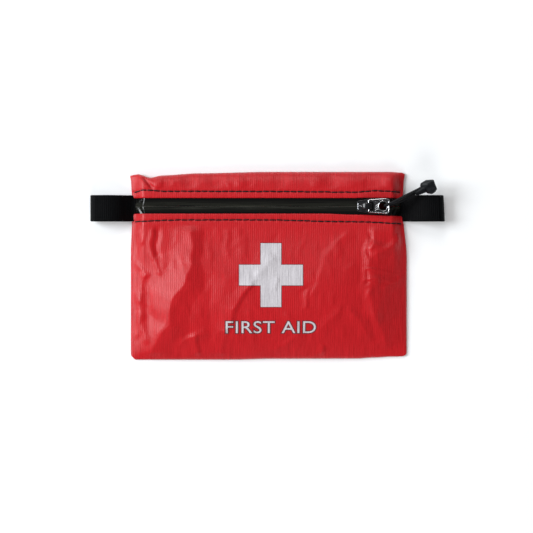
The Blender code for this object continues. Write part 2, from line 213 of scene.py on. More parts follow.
def smooth_route(route, per_span):
    """A Catmull-Rom curve through a given list of points."""
    p = np.asarray(route, float)
    p = np.vstack([2 * p[0] - p[1], p, 2 * p[-1] - p[-2]])
    t = (np.arange(per_span) / per_span)[None, :, None]
    a, b, c, d = (p[k:len(p) - 3 + k, None] for k in range(4))
    spans = 0.5 * (2 * b + (c - a) * t + (2 * a - 5 * b + 4 * c - d) * t**2 + (3 * b - a - 3 * c + d) * t**3)
    return np.vstack([spans.reshape(-1, 3), p[-2]])


def even_steps(path, step_length):
    """The same path with its points step_length apart along it."""
    run = np.concatenate([[0.0], np.cumsum(np.linalg.norm(np.diff(path, axis=0), axis=1))])
    places = np.linspace(0.0, run[-1], int(round(run[-1] / step_length)) + 1)
    return np.stack([np.interp(places, run, path[:, k]) for k in range(3)], -1)


def finish_with(piece, material, body, replaced=()):
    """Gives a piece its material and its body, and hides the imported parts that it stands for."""
    piece.data.materials.clear()
    piece.data.materials.append(material)
    if body:
        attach(piece, body)
    if replaced:
        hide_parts(*replaced)
    return piece


# %% [markdown]
# Materials are node trees, so two helpers keep them readable: one adds a node with its values, the other starts a
# Principled material. Values that are the same all over a surface are typed on the shader's own sockets.

# %% Node tools
def add(tree, kind, values=None, **settings):
    """A new node with its settings, and values or links for its inputs by name or number."""
    made = tree.nodes.new(kind)
    for key, value in settings.items():
        setattr(made, key, value)
    for key, value in (values or {}).items():
        if isinstance(value, bpy.types.NodeSocket):
            tree.links.new(value, made.inputs[key])
        else:
            made.inputs[key].default_value = value
    return made


def maths(tree, operation, a, b=0.0, c=0.0):
    """One Math node's result."""
    return add(tree, "ShaderNodeMath", {0: a, 1: b, 2: c}, operation=operation).outputs[0]


def mixed(tree, share, a, b):
    """A colour between a and b."""
    return add(tree, "ShaderNodeMix", {0: share, 6: (*a, 1.0), 7: (*b, 1.0)}, data_type="RGBA").outputs[2]


def noise(tree, place, scale, detail, **more):
    """A noise value at a place, finer with scale and rougher with detail."""
    return add(tree, "ShaderNodeTexNoise", {"Scale": scale, "Detail": detail, "Vector": place, **more}).outputs[0]


def stretch(tree, value, low, high, new_low=0.0, new_high=1.0):
    """A value moved from the span low to high onto a new one, and cut off beyond it."""
    return add(tree, "ShaderNodeMapRange", {0: value, 1: low, 2: high, 3: new_low, 4: new_high}).outputs[0]


def pattern_place(tree):
    """The piece's own flat place from its pattern map, and then the x and the y of that place."""
    place = add(tree, "ShaderNodeUVMap", uv_map="pattern").outputs[0]
    flat = add(tree, "ShaderNodeSeparateXYZ", {0: place})
    return place, flat.outputs[0], flat.outputs[1]


def principled(name, **uniform):
    """A material whose Principled shader has these uniform values, with its tree and shader."""
    made = bpy.data.materials.new(name)
    made.use_nodes = True
    tree = made.node_tree
    shader = tree.nodes["Principled BSDF"]
    for key, value in uniform.items():
        socket = shader.inputs[key.replace("_", " ")]
        socket.default_value = (*value, 1.0) if isinstance(value, tuple) else value
    return made, tree, shader


def new_group(name, inputs, outputs):
    """An empty node group with named float or vector sockets, and its two end nodes."""
    group = bpy.data.node_groups.new(name, "ShaderNodeTree")
    for label, kind, value in inputs:
        socket = group.interface.new_socket(name=label, in_out="INPUT", socket_type=kind)
        if value is not None:
            socket.default_value = value
    for label, kind in outputs:
        group.interface.new_socket(name=label, in_out="OUTPUT", socket_type=kind)
    return group, group.nodes.new("NodeGroupInput"), group.nodes.new("NodeGroupOutput")


def use_group(tree, group, **values):
    """Places a group in a material with its values."""
    return add(tree, "ShaderNodeGroup", {k.replace("_", " "): v for k, v in values.items()}, node_tree=group)


def feed(tree, shader, **links):
    """Links sockets of the shader by name, with _ for a space."""
    for key, value in links.items():
        tree.links.new(value, shader.inputs[key.replace("_", " ")])


def bump(tree, height, strength, distance):
    """A Bump node's normal."""
    return add(tree, "ShaderNodeBump", {"Height": height, "Strength": strength, "Distance": distance}).outputs[0]


# %% [markdown]
# The floor is one large pale square just under the pouch. It takes the soft shadow and isn't part of the object.

# %% The floor
FLOOR_REACH, FLOOR_LEVEL = 2500.0, -0.05
floor_material, tree, shader = principled("pale_floor", Base_Color=(0.93, 0.93, 0.93), Roughness=0.9)
floor_cloud = add(tree, "ShaderNodeTexNoise", {"Scale": 3.0, "Detail": 1.0})
feed(tree, shader, Base_Color=mixed(tree, floor_cloud.outputs[0], (0.92, 0.92, 0.925), (0.94, 0.94, 0.94)))
ends = (-FLOOR_REACH, FLOOR_REACH)
floor = sheet_object("floor", np.array([[[x, y, FLOOR_LEVEL] for y in ends] for x in ends]))
floor.data.materials.append(floor_material)

# %% [markdown]
# The pull cord comes first, because it is the one piece with a fixed length. A single cord runs from the moulded
# grip over the end of the puller, through its eye, and back under it to the grip: about 47 mm in all. It is a
# braid, so its skin is made as twisted lobes, with the pattern following the cord's own length.

# %% The pull cord's route
CORD, CORD_STEP, CORD_SIDES, LOBES, LOBE_DEPTH = 1.5, 0.35, 16, 8, 0.035
cord_points = [
    (86.3, 44.1, 12.1), (82.6, 42.2, 12.0), (78.8, 40.3, 11.7), (75.0, 38.4, 11.4), (71.8, 36.8, 11.2),
    (69.2, 35.5, 11.0), (67.1, 34.7, 10.75), (66.15, 34.3, 9.2), (66.9, 34.1, 7.75), (69.2, 34.7, 7.5),
    (71.8, 35.5, 7.9), (75.2, 36.8, 8.7), (79.2, 38.8, 9.6), (83.1, 41.0, 10.2), (87.0, 42.9, 10.5),
]
cord_path = even_steps(smooth_route(cord_points, 8), CORD_STEP)
turn = np.arange(CORD_SIDES) * 2 * np.pi / CORD_SIDES
lobes = 1.0 + LOBE_DEPTH * np.cos(LOBES * turn)
cord_rings = carried(cord_path, np.stack([CORD / 2 * lobes * np.cos(turn), CORD / 2 * lobes * np.sin(turn)], -1))
along_cord = np.repeat(np.arange(len(cord_path)) * CORD_STEP, CORD_SIDES)
cord_uv = np.stack([along_cord, np.tile(turn / (2 * np.pi), len(cord_path))], -1)
pull_cord = tube_object("braided_cord", cord_rings, uv=cord_uv)

braid, tree, shader = principled("braided_cord", Base_Color=(0.012, 0.012, 0.013), Roughness=0.6,
                                 Specular_IOR_Level=0.15)
_, run, round_cord = pattern_place(tree)
run, round_cord = maths(tree, "MULTIPLY", run, 6.5), maths(tree, "MULTIPLY", round_cord, LOBES * math.pi)
strands = [maths(tree, "SINE", maths(tree, way, run, round_cord)) for way in ("ADD", "SUBTRACT")]
plait = maths(tree, "MAXIMUM", *strands)
share = maths(tree, "MULTIPLY_ADD", plait, 0.5, 0.5)
feed(tree, shader, Base_Color=mixed(tree, share, (0.001, 0.001, 0.0015), (0.012, 0.0125, 0.014)),
     Normal=bump(tree, plait, 0.7, 0.00012))
finish_with(pull_cord, braid, "cord", ["pull_cord"])

# %% [markdown]
# The pouch is three flat panels and a zip. The front panel bulges over the supplies and sinks into the side
# seams, so its shape is a height above the back for each place (x, y). The formulas are the pattern's own:
# a stiff level zip, a crown over the contents, and edges that come down to the back panel.

# %% The pouch's shape
HALF_LENGTH, HALF_HEIGHT, FABRIC = 79.0, 53.6, 0.6
ZIP_Y, WINDOW_HIGH, CROWN, CROWN_Y = 34.0, 38.7, 13.4, -12.0


def window_low(x):
    """The front panel's folded edge along the zip, which drops a little towards the slider."""
    return through(x, [-79, 30, 50, 76, 79], [29.8, 29.8, 29.2, 28.5, 28.4])


def zip_level(x):
    """1 along the level zip and 0 where its ends are sewn into the side seams."""
    return 1.0 - ease((np.abs(x) - 71.0) / 7.5)


def lip_height(x):
    """Height of the two folded edges beside the zip: 7.4 where it is level, 2.2 at its sewn ends."""
    return 2.2 + 5.2 * zip_level(x)


def edge_height(y):
    """Height of the side seams: 2.2 beside the ends of the zip, easing to 1.4 away from them."""
    return 1.4 + 0.8 * (1.0 - ease((np.abs(y - ZIP_Y) - 11.0) / 8.0))


def turned_edge(far, reach=1.3, drop=0.95):
    """How far a seam's edge rolls down: a quarter circle over the last part of far, the way in from the edge."""
    t = np.clip(1.0 - far / reach, 0.0, 1.0)
    return drop * (1.0 - np.sqrt(1.0 - t * t * 0.998))


def front_height(x, y):
    """Up from the bottom fold on a sine to the crown, then eased down to the zip, all scaled by the swell from the
    sides, (1 - |x|^3)^0.75."""
    out = np.minimum(np.abs(x) / HALF_LENGTH, 1.0)
    swell = np.clip(1.0 - out**3, 0.0, 1.0)**0.75
    slope = 0.609 * np.clip((1.0 - out) / 0.215, 0.0, 1.0)**0.9
    swell = np.where(out > 0.785, slope, swell)
    edge = edge_height(y)
    crown = edge + (CROWN - edge) * swell
    climb = np.clip((y + HALF_HEIGHT) / (CROWN_Y + HALF_HEIGHT), 0.0, 1.0)
    low = edge + (crown - edge) * np.sin(np.pi / 2 * climb)**0.7
    high = crown + (lip_height(x) - crown) * ease((y - CROWN_Y) / (23.2 - CROWN_Y))
    return np.where(y <= CROWN_Y, low, high)


def header_height(x, y):
    """Level with the zip, then a quarter ellipse down to the top fold."""
    down = np.clip((y - 44.6) / 9.0, 0.0, 1.0)
    low, lip = edge_height(y), lip_height(x)
    return low + (lip - low) * np.sqrt(np.clip(1.0 - down * down, 0.0, 1.0))


# %% [markdown]
# Laminated cloth doesn't drape like cotton: it creases into sharp lines with flat facets between them. Each crease
# is a fold: a line with a height, which falls away on its two sides at two different rates. A steep side and a long
# side make the facet that catches the light.

# %% Creases
def fold(x, y, start, end, height, left, right, soft=0.35, fade=0.25):
    """A fold from start to end: a tent, height * (1 - distance / width)^1.25, with its own width on the left and
    the right of a walker from start to end, rounded at the top by soft and faded out past the line's ends."""
    (x0, y0), (x1, y1) = start, end
    length = math.hypot(x1 - x0, y1 - y0)
    ux, uy = (x1 - x0) / length, (y1 - y0) / length
    along = ((x - x0) * ux + (y - y0) * uy) / length
    across = (x - x0) * uy - (y - y0) * ux
    width = np.where(across < 0, left, right)
    rounded = np.sqrt(across**2 + soft**2) - soft
    ends = ease(along / fade + 0.5) * ease((1.0 - along) / fade + 0.5)
    return height * np.clip(1.0 - rounded / width, 0.0, 1.0)**1.25 * ends


def bent_ridge(x, y, points, heights, west, east, soft=0.35):
    """A long crease with bends. Each straight run is a tent over the distance to it, as in fold, its height
    changing evenly from end to end; the tallest tent at each place wins, so the runs join without a step."""
    best = np.zeros(np.broadcast(x, y).shape)
    for (x0, y0), (x1, y1), start, end in zip(points[:-1], points[1:], heights[:-1], heights[1:]):
        run_x, run_y = x1 - x0, y1 - y0
        along = np.clip(((x - x0) * run_x + (y - y0) * run_y) / (run_x**2 + run_y**2), 0.0, 1.0)
        away = np.hypot(x - x0 - along * run_x, y - y0 - along * run_y)
        width = np.where((x - x0) * run_y - (y - y0) * run_x < 0, east, west)
        tent = np.clip(1.0 - (np.sqrt(away**2 + soft**2) - soft) / width, 0.0, 1.0)**1.25
        best = np.maximum(best, (start + (end - start) * along) * tent)
    return best


def dent(x, y, centre, size, depth, turned=0.0):
    """A shallow almond-shaped dent or swelling."""
    c, s = math.cos(math.radians(turned)), math.sin(math.radians(turned))
    u = ((x - centre[0]) * c + (y - centre[1]) * s) / size[0]
    v = (-(x - centre[0]) * s + (y - centre[1]) * c) / size[1]
    return depth * np.exp(-(u * u + v * v)**1.5)


LONG_RIDGE = [(-46.0, 27.0), (-43.5, 10.0), (-43.0, 0.5), (-48.0, -8.0), (-54.7, -19.5), (-57.5, -33.0),
              (-63.0, -41.0), (-67.0, -52.5)]
RIDGE_HEIGHTS = [1.5, 2.5, 2.8, 2.9, 3.1, 2.9, 2.3, 1.4]
front_folds = [
    ((-72.0, -5.0), (-72.5, -22.0), 1.0, 3.6, 4.5), ((-73.5, -22.0), (-76.0, -42.0), 0.8, 3.4, 3.0),
    ((-37.5, 24.0), (-37.0, -14.0), -0.7, 5.0, 7.0), ((-32.0, -8.0), (-34.0, -44.0), -0.6, 7.0, 8.0),
    ((-64.0, 24.0), (-62.5, 6.0), -0.9, 2.2, 2.6), ((-67.5, 21.0), (-66.0, 4.0), 0.5, 2.4, 2.2),
    ((-64.5, 5.0), (-63.0, -5.0), 0.5, 1.4, 2.0), ((-78.0, 22.0), (-71.5, 12.0), 0.7, 2.0, 3.0),
    ((-77.0, 1.0), (-70.0, -7.0), 0.6, 2.6, 3.0), ((-77.5, -14.0), (-70.0, -24.0), 0.6, 3.0, 3.0),
    ((-75.0, -28.0), (-69.0, -44.0), 0.6, 3.0, 3.0), ((-50.0, 6.0), (-47.0, -8.0), 0.4, 3.0, 1.6),
    ((4.0, 6.0), (-7.0, -6.0), 1.0, 5.5, 6.5), ((-8.5, -8.5), (-19.8, -23.5), 0.9, 2.2, 7.0),
    ((-19.5, -23.0), (-25.0, -38.0), 0.9, 2.8, 7.0), ((-25.0, -36.0), (-27.0, -50.0), 0.4, 3.0, 5.0),
    ((4.5, -7.0), (3.0, -14.0), 0.45, 1.6, 2.5), ((22.3, -14.0), (22.0, -25.0), 0.45, 1.2, 2.5),
    ((60.5, 24.0), (58.4, 9.0), 1.1, 12.0, 3.5), ((59.4, 14.0), (57.0, -2.0), 1.5, 19.0, 4.5),
    ((57.0, -2.0), (56.5, -9.0), 1.5, 21.0, 4.5), ((56.3, -8.5), (61.0, -29.5), 1.4, 17.0, 5.0),
    ((60.5, -28.5), (68.0, -46.0), 0.8, 8.0, 4.0), ((57.4, 18.0), (58.0, 4.0), -0.6, 1.4, 1.2),
    ((56.0, -3.0), (55.0, -11.0), -0.5, 2.0, 1.2), ((61.0, 6.0), (75.5, 16.0), 0.9, 3.2, 4.6),
    ((64.0, -13.0), (78.0, -5.0), 0.6, 2.6, 4.0), ((73.6, 18.5), (75.0, 12.5), 0.5, 1.2, 1.6),
    ((33.3, 7.3), (44.5, 18.5), 0.45, 2.6, 6.0), ((24.0, -19.0), (33.0, 7.0), 0.35, 2.0, 8.0),
    ((45.0, -24.0), (58.0, -42.0), 0.6, 4.0, 5.0), ((-43.0, -40.0), (-39.5, -52.0), 0.9, 2.4, 4.0),
    ((32.0, -45.0), (30.0, -52.5), 0.8, 2.0, 3.0), ((-52.0, -46.0), (-36.0, -37.0), 0.5, 3.0, 4.0),
    ((3.0, -48.0), (19.0, -39.0), 0.5, 3.0, 5.0), ((-18.0, 22.0), (-14.0, 5.0), 0.35, 4.0, 4.0),
    ((28.0, -36.0), (42.0, -22.0), 0.5, 3.0, 6.0), ((-24.0, 22.0), (-22.5, 6.0), 0.35, 2.4, 3.0),
    ((10.0, -26.0), (17.0, -39.0), 0.4, 2.6, 3.4), ((-12.0, -26.0), (-7.0, -46.0), 0.35, 3.0, 3.6),
]


def crumple(x, y, seed, count, height, region):
    """Small random creases, so that no stretch of the cloth is perfectly smooth."""
    pick = np.random.default_rng(seed)
    total = np.zeros(np.broadcast(x, y).shape)
    for _ in range(count):
        cx, cy = pick.uniform(region[0], region[1]), pick.uniform(region[2], region[3])
        way, run = pick.normal(1.45, 0.5), pick.uniform(4.0, 13.0)
        ends = [(cx - s * run * math.cos(way) / 2, cy - s * run * math.sin(way) / 2) for s in (1, -1)]
        total = total + fold(x, y, *ends, height * pick.uniform(-0.7, 1.0), pick.uniform(1.2, 4.5),
                             pick.uniform(1.2, 4.5), soft=0.25, fade=0.5)
    return total


def wandering(x, y):
    """Shifts the crease pattern by about 1 mm in slow waves, so that no crease is a ruled line."""
    return (x + 0.8 * np.sin(y / 4.3 + 0.9 * np.sin(x / 9.0)) + 0.35 * np.sin(y / 1.9 + x / 6.0),
            y + 1.0 * np.sin(x / 5.1 + 1.1 * np.sin(y / 8.0)))


def front_relief(x, y):
    """All creases of the front, none where it is sewn, plus the pull of the lower row of stitches."""
    pattern_x, pattern_y = x, y
    x, y = wandering(x, y)
    total = crumple(x, y, 7, 130, 0.26, (-76, 76, -52, 23))
    total = total + bent_ridge(x, y, LONG_RIDGE, RIDGE_HEIGHTS, 12.5, 12.0)
    for start, end, height, left, right in front_folds:
        total = total + fold(x, y, start, end, height, left, right)
    total = total + dent(x, y, (-75.0, 11.3), (2.2, 6.5), -0.9, -8) + dent(x, y, (-69, -24), (3.2, 18), -0.6, 8)
    total = total + dent(x, y, (8, -12), (22, 16), -0.5) + dent(x, y, (38, -6), (12, 18), 0.3, -20)
    x, y = pattern_x, pattern_y
    free = ease((HALF_LENGTH - np.abs(x)) / 5.0) * ease((y + HALF_HEIGHT - 0.6) / 4.0) * ease((24.0 - y) / 5.0)
    low_row = stitch_low_y(x)
    pull = -0.30 * np.exp(-((y - low_row) / 0.8)**2) * (1.0 + 0.35 * np.cos(2 * np.pi * x / 3.9))
    hem = -0.5 * turned_edge(window_low(x) - y, 0.8, 1.0)
    return total * free + pull + hem


def header_relief(x, y):
    """The header's pleat near its left end, soft dimples along it, and the pull of the upper row of stitches."""
    total = crumple(x, y, 11, 30, 0.22, (-76, 76, 44, 53))
    total = total + fold(x, y, (-71.5, 51.5), (-66.0, 43.5), -1.3, 1.6, 1.2)
    total = total + dent(x, y, (-63, 47.5), (2.6, 4.0), 0.8)
    for place, size, depth in ((-45, 4, -0.8), (-30, 5, -0.55), (-16, 3, 0.5), (6, 4, -0.5), (27, 3, 0.55),
                               (36, 4, -0.7), (47, 4, 0.5), (60, 5, -0.6), (69, 3, 0.5)):
        total = total + dent(x, y, (place, 48.5), (size, 4.5), depth, 10)
    free = ease((HALF_LENGTH - np.abs(x)) / 4.0) * ease((y - 43.0) / 2.5)
    pull = -0.30 * np.exp(-((y - stitch_high_y(x)) / 0.8)**2) * (1.0 + 0.35 * np.cos(2 * np.pi * x / 3.9))
    return total * free + pull - 0.5 * turned_edge(y - WINDOW_HIGH, 0.8, 1.0)


def stitch_low_y(x):
    """The lower row of stitches, in pattern places."""
    return through(x, [-79, -49, -5, 50, 79], [25.3, 26.2, 26.2, 25.1, 24.1])


def stitch_high_y(x):
    """The upper row of stitches, in pattern places."""
    return through(x, [-79, -71.5, -58, 0, 50, 61, 79], [41.8, 43.2, 42.5, 42.4, 42.0, 42.8, 42.1])


# %% [markdown]
# Sewing never gives a true rectangle. The outline is eased in and out along all four sides by up to about
# 3 mm. One formula does it for all the cloth, so the seams stay together.

# %% The uneven outline
def outlined(x, y):
    """Moves places near the four sides to the sewn outline. The sideways shift grows with the fifth power of the
    way out from the middle, the other with the square of the way into the last part. The corners are cut a little."""
    left = through(y, [-53.6, 5, 34, 48, 53.6], [0.3, 0.3, 1.2, 0.5, -0.2])
    right = through(y, [-53.6, 4, 34, 48, 53.6], [0.1, 0.1, -2.4, -1.7, -0.9])
    top = through(x, [-79, -74.4, -67.5, -60.7, -40, 1, 70, 77, 79],
                  [-1.9, -1.2, -3.1, -1.8, -0.6, 0.2, 0.2, -0.2, -0.8])
    low = through(x, [-79, -76, -20, 0, 50, 60, 70, 79], [0.9, 0.0, 0.0, 0.5, 0.6, 1.2, 1.7, 1.9])
    out = np.clip(x / HALF_LENGTH, -1.0, 1.0)
    up = np.clip((y - 44.0) / 9.6, 0.0, 1.0)**2
    down = np.clip((-y - 30.0) / 23.6, 0.0, 1.0)**2
    corner = np.clip((np.abs(x) - 76.0) / 3.0, 0.0, 1.0) * np.clip((np.abs(y) - 50.6) / 3.0, 0.0, 1.0)
    cut = np.where(y > 0, 0.15, 0.8) * corner**2
    moved_x = x + np.where(out < 0, left * (-out)**5, right * out**5) - cut * np.sign(x)
    return moved_x, y + top * up + low * down - cut * np.sign(y)


def closed_pair(name, place, under):
    """Two grids of points (columns, rows, 3), one above the other, closed by a flat strip round the rim."""
    nu, nv = place.shape[:2]
    points = np.concatenate([place.reshape(-1, 3), under.reshape(-1, 3)])
    top = grid_faces(nu, nv, False, False)
    low = top[:, ::-1] + nu * nv
    k = np.arange(nu * nv).reshape(nu, nv)
    round_edge = np.concatenate([k[:-1, 0], k[-1, :-1], k[:0:-1, -1], k[0, :0:-1]])
    after = np.roll(round_edge, -1)
    rim = np.stack([round_edge, round_edge + nu * nv, after + nu * nv, after], -1)
    made = new_object(name, points, np.concatenate([top, low, rim]), np.tile(place[..., :2].reshape(-1, 2), (2, 1)))
    smooth = np.ones(len(made.data.polygons), bool)
    smooth[-len(rim):] = False
    made.data.polygons.foreach_set("use_smooth", smooth)
    on_rim = np.zeros(2 * nu * nv, bool)
    on_rim[np.concatenate([round_edge, round_edge + nu * nv])] = True
    ends = np.zeros(2 * len(made.data.edges), np.int32)
    made.data.edges.foreach_get("vertices", ends)
    made.data.edges.foreach_set("use_edge_sharp", on_rim[ends.reshape(-1, 2)].all(1))
    return made


def thick_sheet(name, place, thickness):
    """A sheet with a wall: the outer grid facing up, and the same grid moved down its own normal."""
    normal = np.cross(np.gradient(place, axis=0), np.gradient(place, axis=1))
    normal /= np.linalg.norm(normal, axis=2, keepdims=True)
    return closed_pair(name, place, place - thickness * normal)


def fabric_place(x, y, height):
    """Outer points of a panel: the outline's own shift in the plane, and the height with its rolled outer edges."""
    far = np.minimum(HALF_LENGTH - np.abs(x), HALF_HEIGHT - np.abs(y))
    moved_x, moved_y = outlined(x, y)
    return np.stack([moved_x, moved_y, height - turned_edge(far)], -1)


def fine_steps(start, stop, step, near=1.4, near_step=0.2):
    """Steps that get short near the two ends, where the cloth turns over."""
    inner = np.linspace(start + near, stop - near, int(round((stop - start - 2 * near) / step)) + 1)
    ends = np.arange(0, near - 1e-6, near_step)
    return np.concatenate([start + ends, inner, (stop - ends)[::-1]])


# %% [markdown]
# Sailcloth for pouches is a polyester film laminated on a fine grid of yarns. The film gives the gloss, the yarns
# give fine upright ribs about a millimetre apart. The pattern runs in the panel's own flat measures, in
# millimetres, so it stays on the cloth when the mouth opens.

# %% Sailcloth finish
film, film_in, film_out = new_group(
    "laminated_film", [("Pattern", "NodeSocketVector", None), ("Rib Depth", "NodeSocketFloat", 1.0)],
    [("Height", "NodeSocketFloat"), ("Streak", "NodeSocketFloat"), ("Cloud", "NodeSocketFloat")])
place = film_in.outputs["Pattern"]
flat = add(film, "ShaderNodeSeparateXYZ", {0: place})
rib_place = maths(film, "MULTIPLY_ADD", noise(film, place, 0.12, 2.0), 1.2, flat.outputs[0])
ribs = maths(film, "POWER", maths(film, "ABSOLUTE", maths(film, "COSINE", maths(film, "MULTIPLY", rib_place, 2.9))),
             2.2)
weft = maths(film, "POWER", maths(film, "ABSOLUTE", maths(film, "COSINE", maths(
    film, "MULTIPLY", flat.outputs[1], 5.2))), 3.0)
long_way = add(film, "ShaderNodeMapping", {"Vector": place, "Scale": (1.5, 0.09, 1.0)}).outputs[0]
streaks = noise(film, long_way, 1.0, 4.0, Roughness=0.65)
height = maths(film, "ADD", maths(film, "MULTIPLY", ribs, film_in.outputs["Rib Depth"]),
               maths(film, "ADD", maths(film, "MULTIPLY", weft, 0.25), maths(film, "MULTIPLY", streaks, 1.4)))
for label, value in (("Height", height), ("Streak", streaks), ("Cloud", noise(film, place, 0.9, 5.0))):
    film.links.new(value, film_out.inputs[label])


def film_finish(name, dark, light, roughness, rib_depth=1.0, bump_strength=0.5):
    """A laminated cloth's material between two colours, streaked along the ribs."""
    made, tree, shader = principled(name, Base_Color=light, Roughness=roughness, Coat_Weight=0.07,
                                    Coat_Roughness=0.40, Specular_IOR_Level=0.30)
    film_node = use_group(tree, film, Pattern=pattern_place(tree)[0], Rib_Depth=rib_depth)
    share = stretch(tree, film_node.outputs["Streak"], 0.37, 0.63)
    blotch = stretch(tree, film_node.outputs["Cloud"], 0.2, 0.8, 0.25, 0.75)
    both = maths(tree, "MULTIPLY_ADD", share, 0.5, maths(tree, "MULTIPLY", blotch, 0.5))
    feed(tree, shader, Base_Color=mixed(tree, both, dark, light),
         Roughness=maths(tree, "MULTIPLY_ADD", share, -0.10, roughness + 0.05),
         Normal=bump(tree, film_node.outputs["Height"], bump_strength, 0.00006))
    return made


sailcloth = film_finish("red_sailcloth", (0.37, 0.004, 0.006), (0.57, 0.014, 0.020), 0.44, 1.0, 0.9)

# %% [markdown]
# The front panel lifts at its middle when the zip is open, but its sides stay sewn. The panel is made as two halves
# that meet at the middle.

# %% The front panel
def front_cloth(x, y):
    """The front's height with its creases."""
    return front_height(x, y) + front_relief(x, y)


def front_points(x, y):
    """Outer places of the front for pattern places x and y."""
    return fabric_place(x, y, front_cloth(x, y))


def front_grid(side, step):
    """Columns from side to middle, and rows from the bottom fold to the zip's edge, which isn't quite straight."""
    x = fine_steps(-HALF_LENGTH, 0.0, step)
    x = x if side < 0 else -x[::-1]
    v = fine_steps(0.0, FRONT_RUN, step) / FRONT_RUN
    x = x[:, None] + 0 * v[None, :]
    return x, -HALF_HEIGHT + v[None, :] * (window_low(x) + HALF_HEIGHT)


FRONT_RUN, CLOTH_STEP = 83.0, 0.6


def open_with_front(piece):
    """Bakes the piece's placement into its mesh."""
    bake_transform(piece)


for side, name in ((-1, "front_left"), (1, "front_right")):
    x, y = front_grid(side, CLOTH_STEP)
    half = thick_sheet(name + "_panel", front_points(x, y), FABRIC)
    finish_with(half, sailcloth, None, ["front_panel"])
    open_with_front(half)
    print(half.name, len(half.data.polygons), "faces")

# %% [markdown]
# The header is the strip above the zip. It stays still, with a pleat near its left end. The back panel is nearly
# flat: slow ripples of 0.2 mm at most fade out towards its edge.

# %% Header and back
def header_cloth(x, y):
    """The header's height with its creases."""
    return header_height(x, y) + header_relief(x, y)


HEADER_RUN, BACK_X, BACK_Y, BACK_TOP, BACK_FABRIC = 14.9, 78.3, 52.9, 0.62, 0.5
x, v = np.meshgrid(fine_steps(-HALF_LENGTH, HALF_LENGTH, CLOTH_STEP), fine_steps(0.0, HEADER_RUN, 0.5) / HEADER_RUN,
                   indexing="ij")
y = WINDOW_HIGH + v * (HALF_HEIGHT - WINDOW_HIGH)
header = thick_sheet("header_strip_cloth", fabric_place(x, y, header_cloth(x, y)), FABRIC)
finish_with(header, sailcloth, "pouch", ["header_strip"])

x, y = np.meshgrid(np.linspace(-BACK_X, BACK_X, 170), np.linspace(-BACK_Y, BACK_Y, 116), indexing="ij")
ripple = 0.10 * np.sin(x / 11.0 + np.sin(y / 17.0)) * np.cos(y / 13.0)
ripple = np.clip(ripple + crumple(x, y, 23, 40, 0.10, (-76, 76, -51, 51)), -0.12, 0.2)
inward = ease(np.minimum(BACK_X - np.abs(x), BACK_Y - np.abs(y)) / 6.0)
back = thick_sheet("back_panel_cloth", np.stack([*outlined(x, y), BACK_TOP + ripple * inward], -1), BACK_FABRIC)
finish_with(back, sailcloth, "pouch", ["back_panel"])

# %% [markdown]
# The print is ink on the cloth: a plain cross and the plain words for what the pouch is. Each is a thin skin that
# follows the cloth a few hundredths of a millimetre above it, with a slightly larger dark skin under it that shows
# as a thin outline. The words are made from the typeface that comes with Blender, cut along a fine grid, and laid
# on the cloth like the cross.

# %% Print finishes
white_ink = film_finish("white_print", (0.36, 0.335, 0.355), (0.70, 0.665, 0.69), 0.45, 1.0, 0.7)
dark_ink = film_finish("outline_print", (0.10, 0.02, 0.02), (0.16, 0.03, 0.04), 0.5)


def printed(name, mesh, lift, material):
    """Lays a flat mesh, in millimetres, on the cloth: each point goes up to the cloth's own height there."""
    co = np.zeros(len(mesh.vertices) * 3)
    mesh.vertices.foreach_get("co", co)
    co = co.reshape(-1, 3)
    place = front_points(co[:, 0], co[:, 1])
    place[:, 2] += lift
    mesh.vertices.foreach_set("co", (place * MM).ravel())
    corner = np.zeros(len(mesh.loops), np.int32)
    mesh.loops.foreach_get("vertex_index", corner)
    mesh.uv_layers.new(name="pattern").data.foreach_set("uv", co[corner, :2].astype(np.float32).ravel())
    mesh.polygons.foreach_set("use_smooth", np.ones(len(mesh.polygons), bool))
    mesh.materials.clear()
    mesh.update()
    made = bpy.data.objects.new(name, mesh)
    bpy.context.scene.collection.objects.link(made)
    made.data.materials.append(material)
    open_with_front(made)
    return made


def cut_fine(mesh, step, side):
    """Cuts a flat mesh along lines step apart both ways, and keeps the part on one side of the middle."""
    bm = bmesh.new()
    bm.from_mesh(mesh)
    co = np.array([v.co[:2] for v in bm.verts])
    for axis in (0, 1):
        normal = (1, 0, 0) if axis == 0 else (0, 1, 0)
        first, last = np.floor(co[:, axis].min() / step), np.ceil(co[:, axis].max() / step)
        for k in np.arange(first, last + 1):
            place = (k * step, 0, 0) if axis == 0 else (0, k * step, 0)
            bmesh.ops.bisect_plane(bm, geom=bm.verts[:] + bm.edges[:] + bm.faces[:], plane_co=place, plane_no=normal)
    bmesh.ops.bisect_plane(bm, geom=bm.verts[:] + bm.edges[:] + bm.faces[:], plane_co=(0, 0, 0),
                           plane_no=(side, 0, 0), clear_inner=True)
    bmesh.ops.recalc_face_normals(bm, faces=bm.faces[:])
    if sum(f.normal.z for f in bm.faces) < 0:
        bmesh.ops.reverse_faces(bm, faces=bm.faces[:])
    cut = bpy.data.meshes.new(mesh.name + "_cut")
    bm.to_mesh(cut)
    bm.free()
    return cut


def cross_mesh(centre, half, arm):
    """A plain cross: the twelve corners of two crossed bars."""
    out = [(half, arm), (arm, arm), (arm, half), (-arm, half), (-arm, arm), (-half, arm),
           (-half, -arm), (-arm, -arm), (-arm, -half), (arm, -half), (arm, -arm), (half, -arm)]
    mesh = bpy.data.meshes.new("cross")
    points = [(centre[0] + x, centre[1] + y, 0.0) for x, y in out]
    mesh.from_pydata(points, [], [[0, 1, 10, 11], [1, 2, 3, 4, 7, 8, 9, 10], [4, 5, 6, 7]])
    return mesh


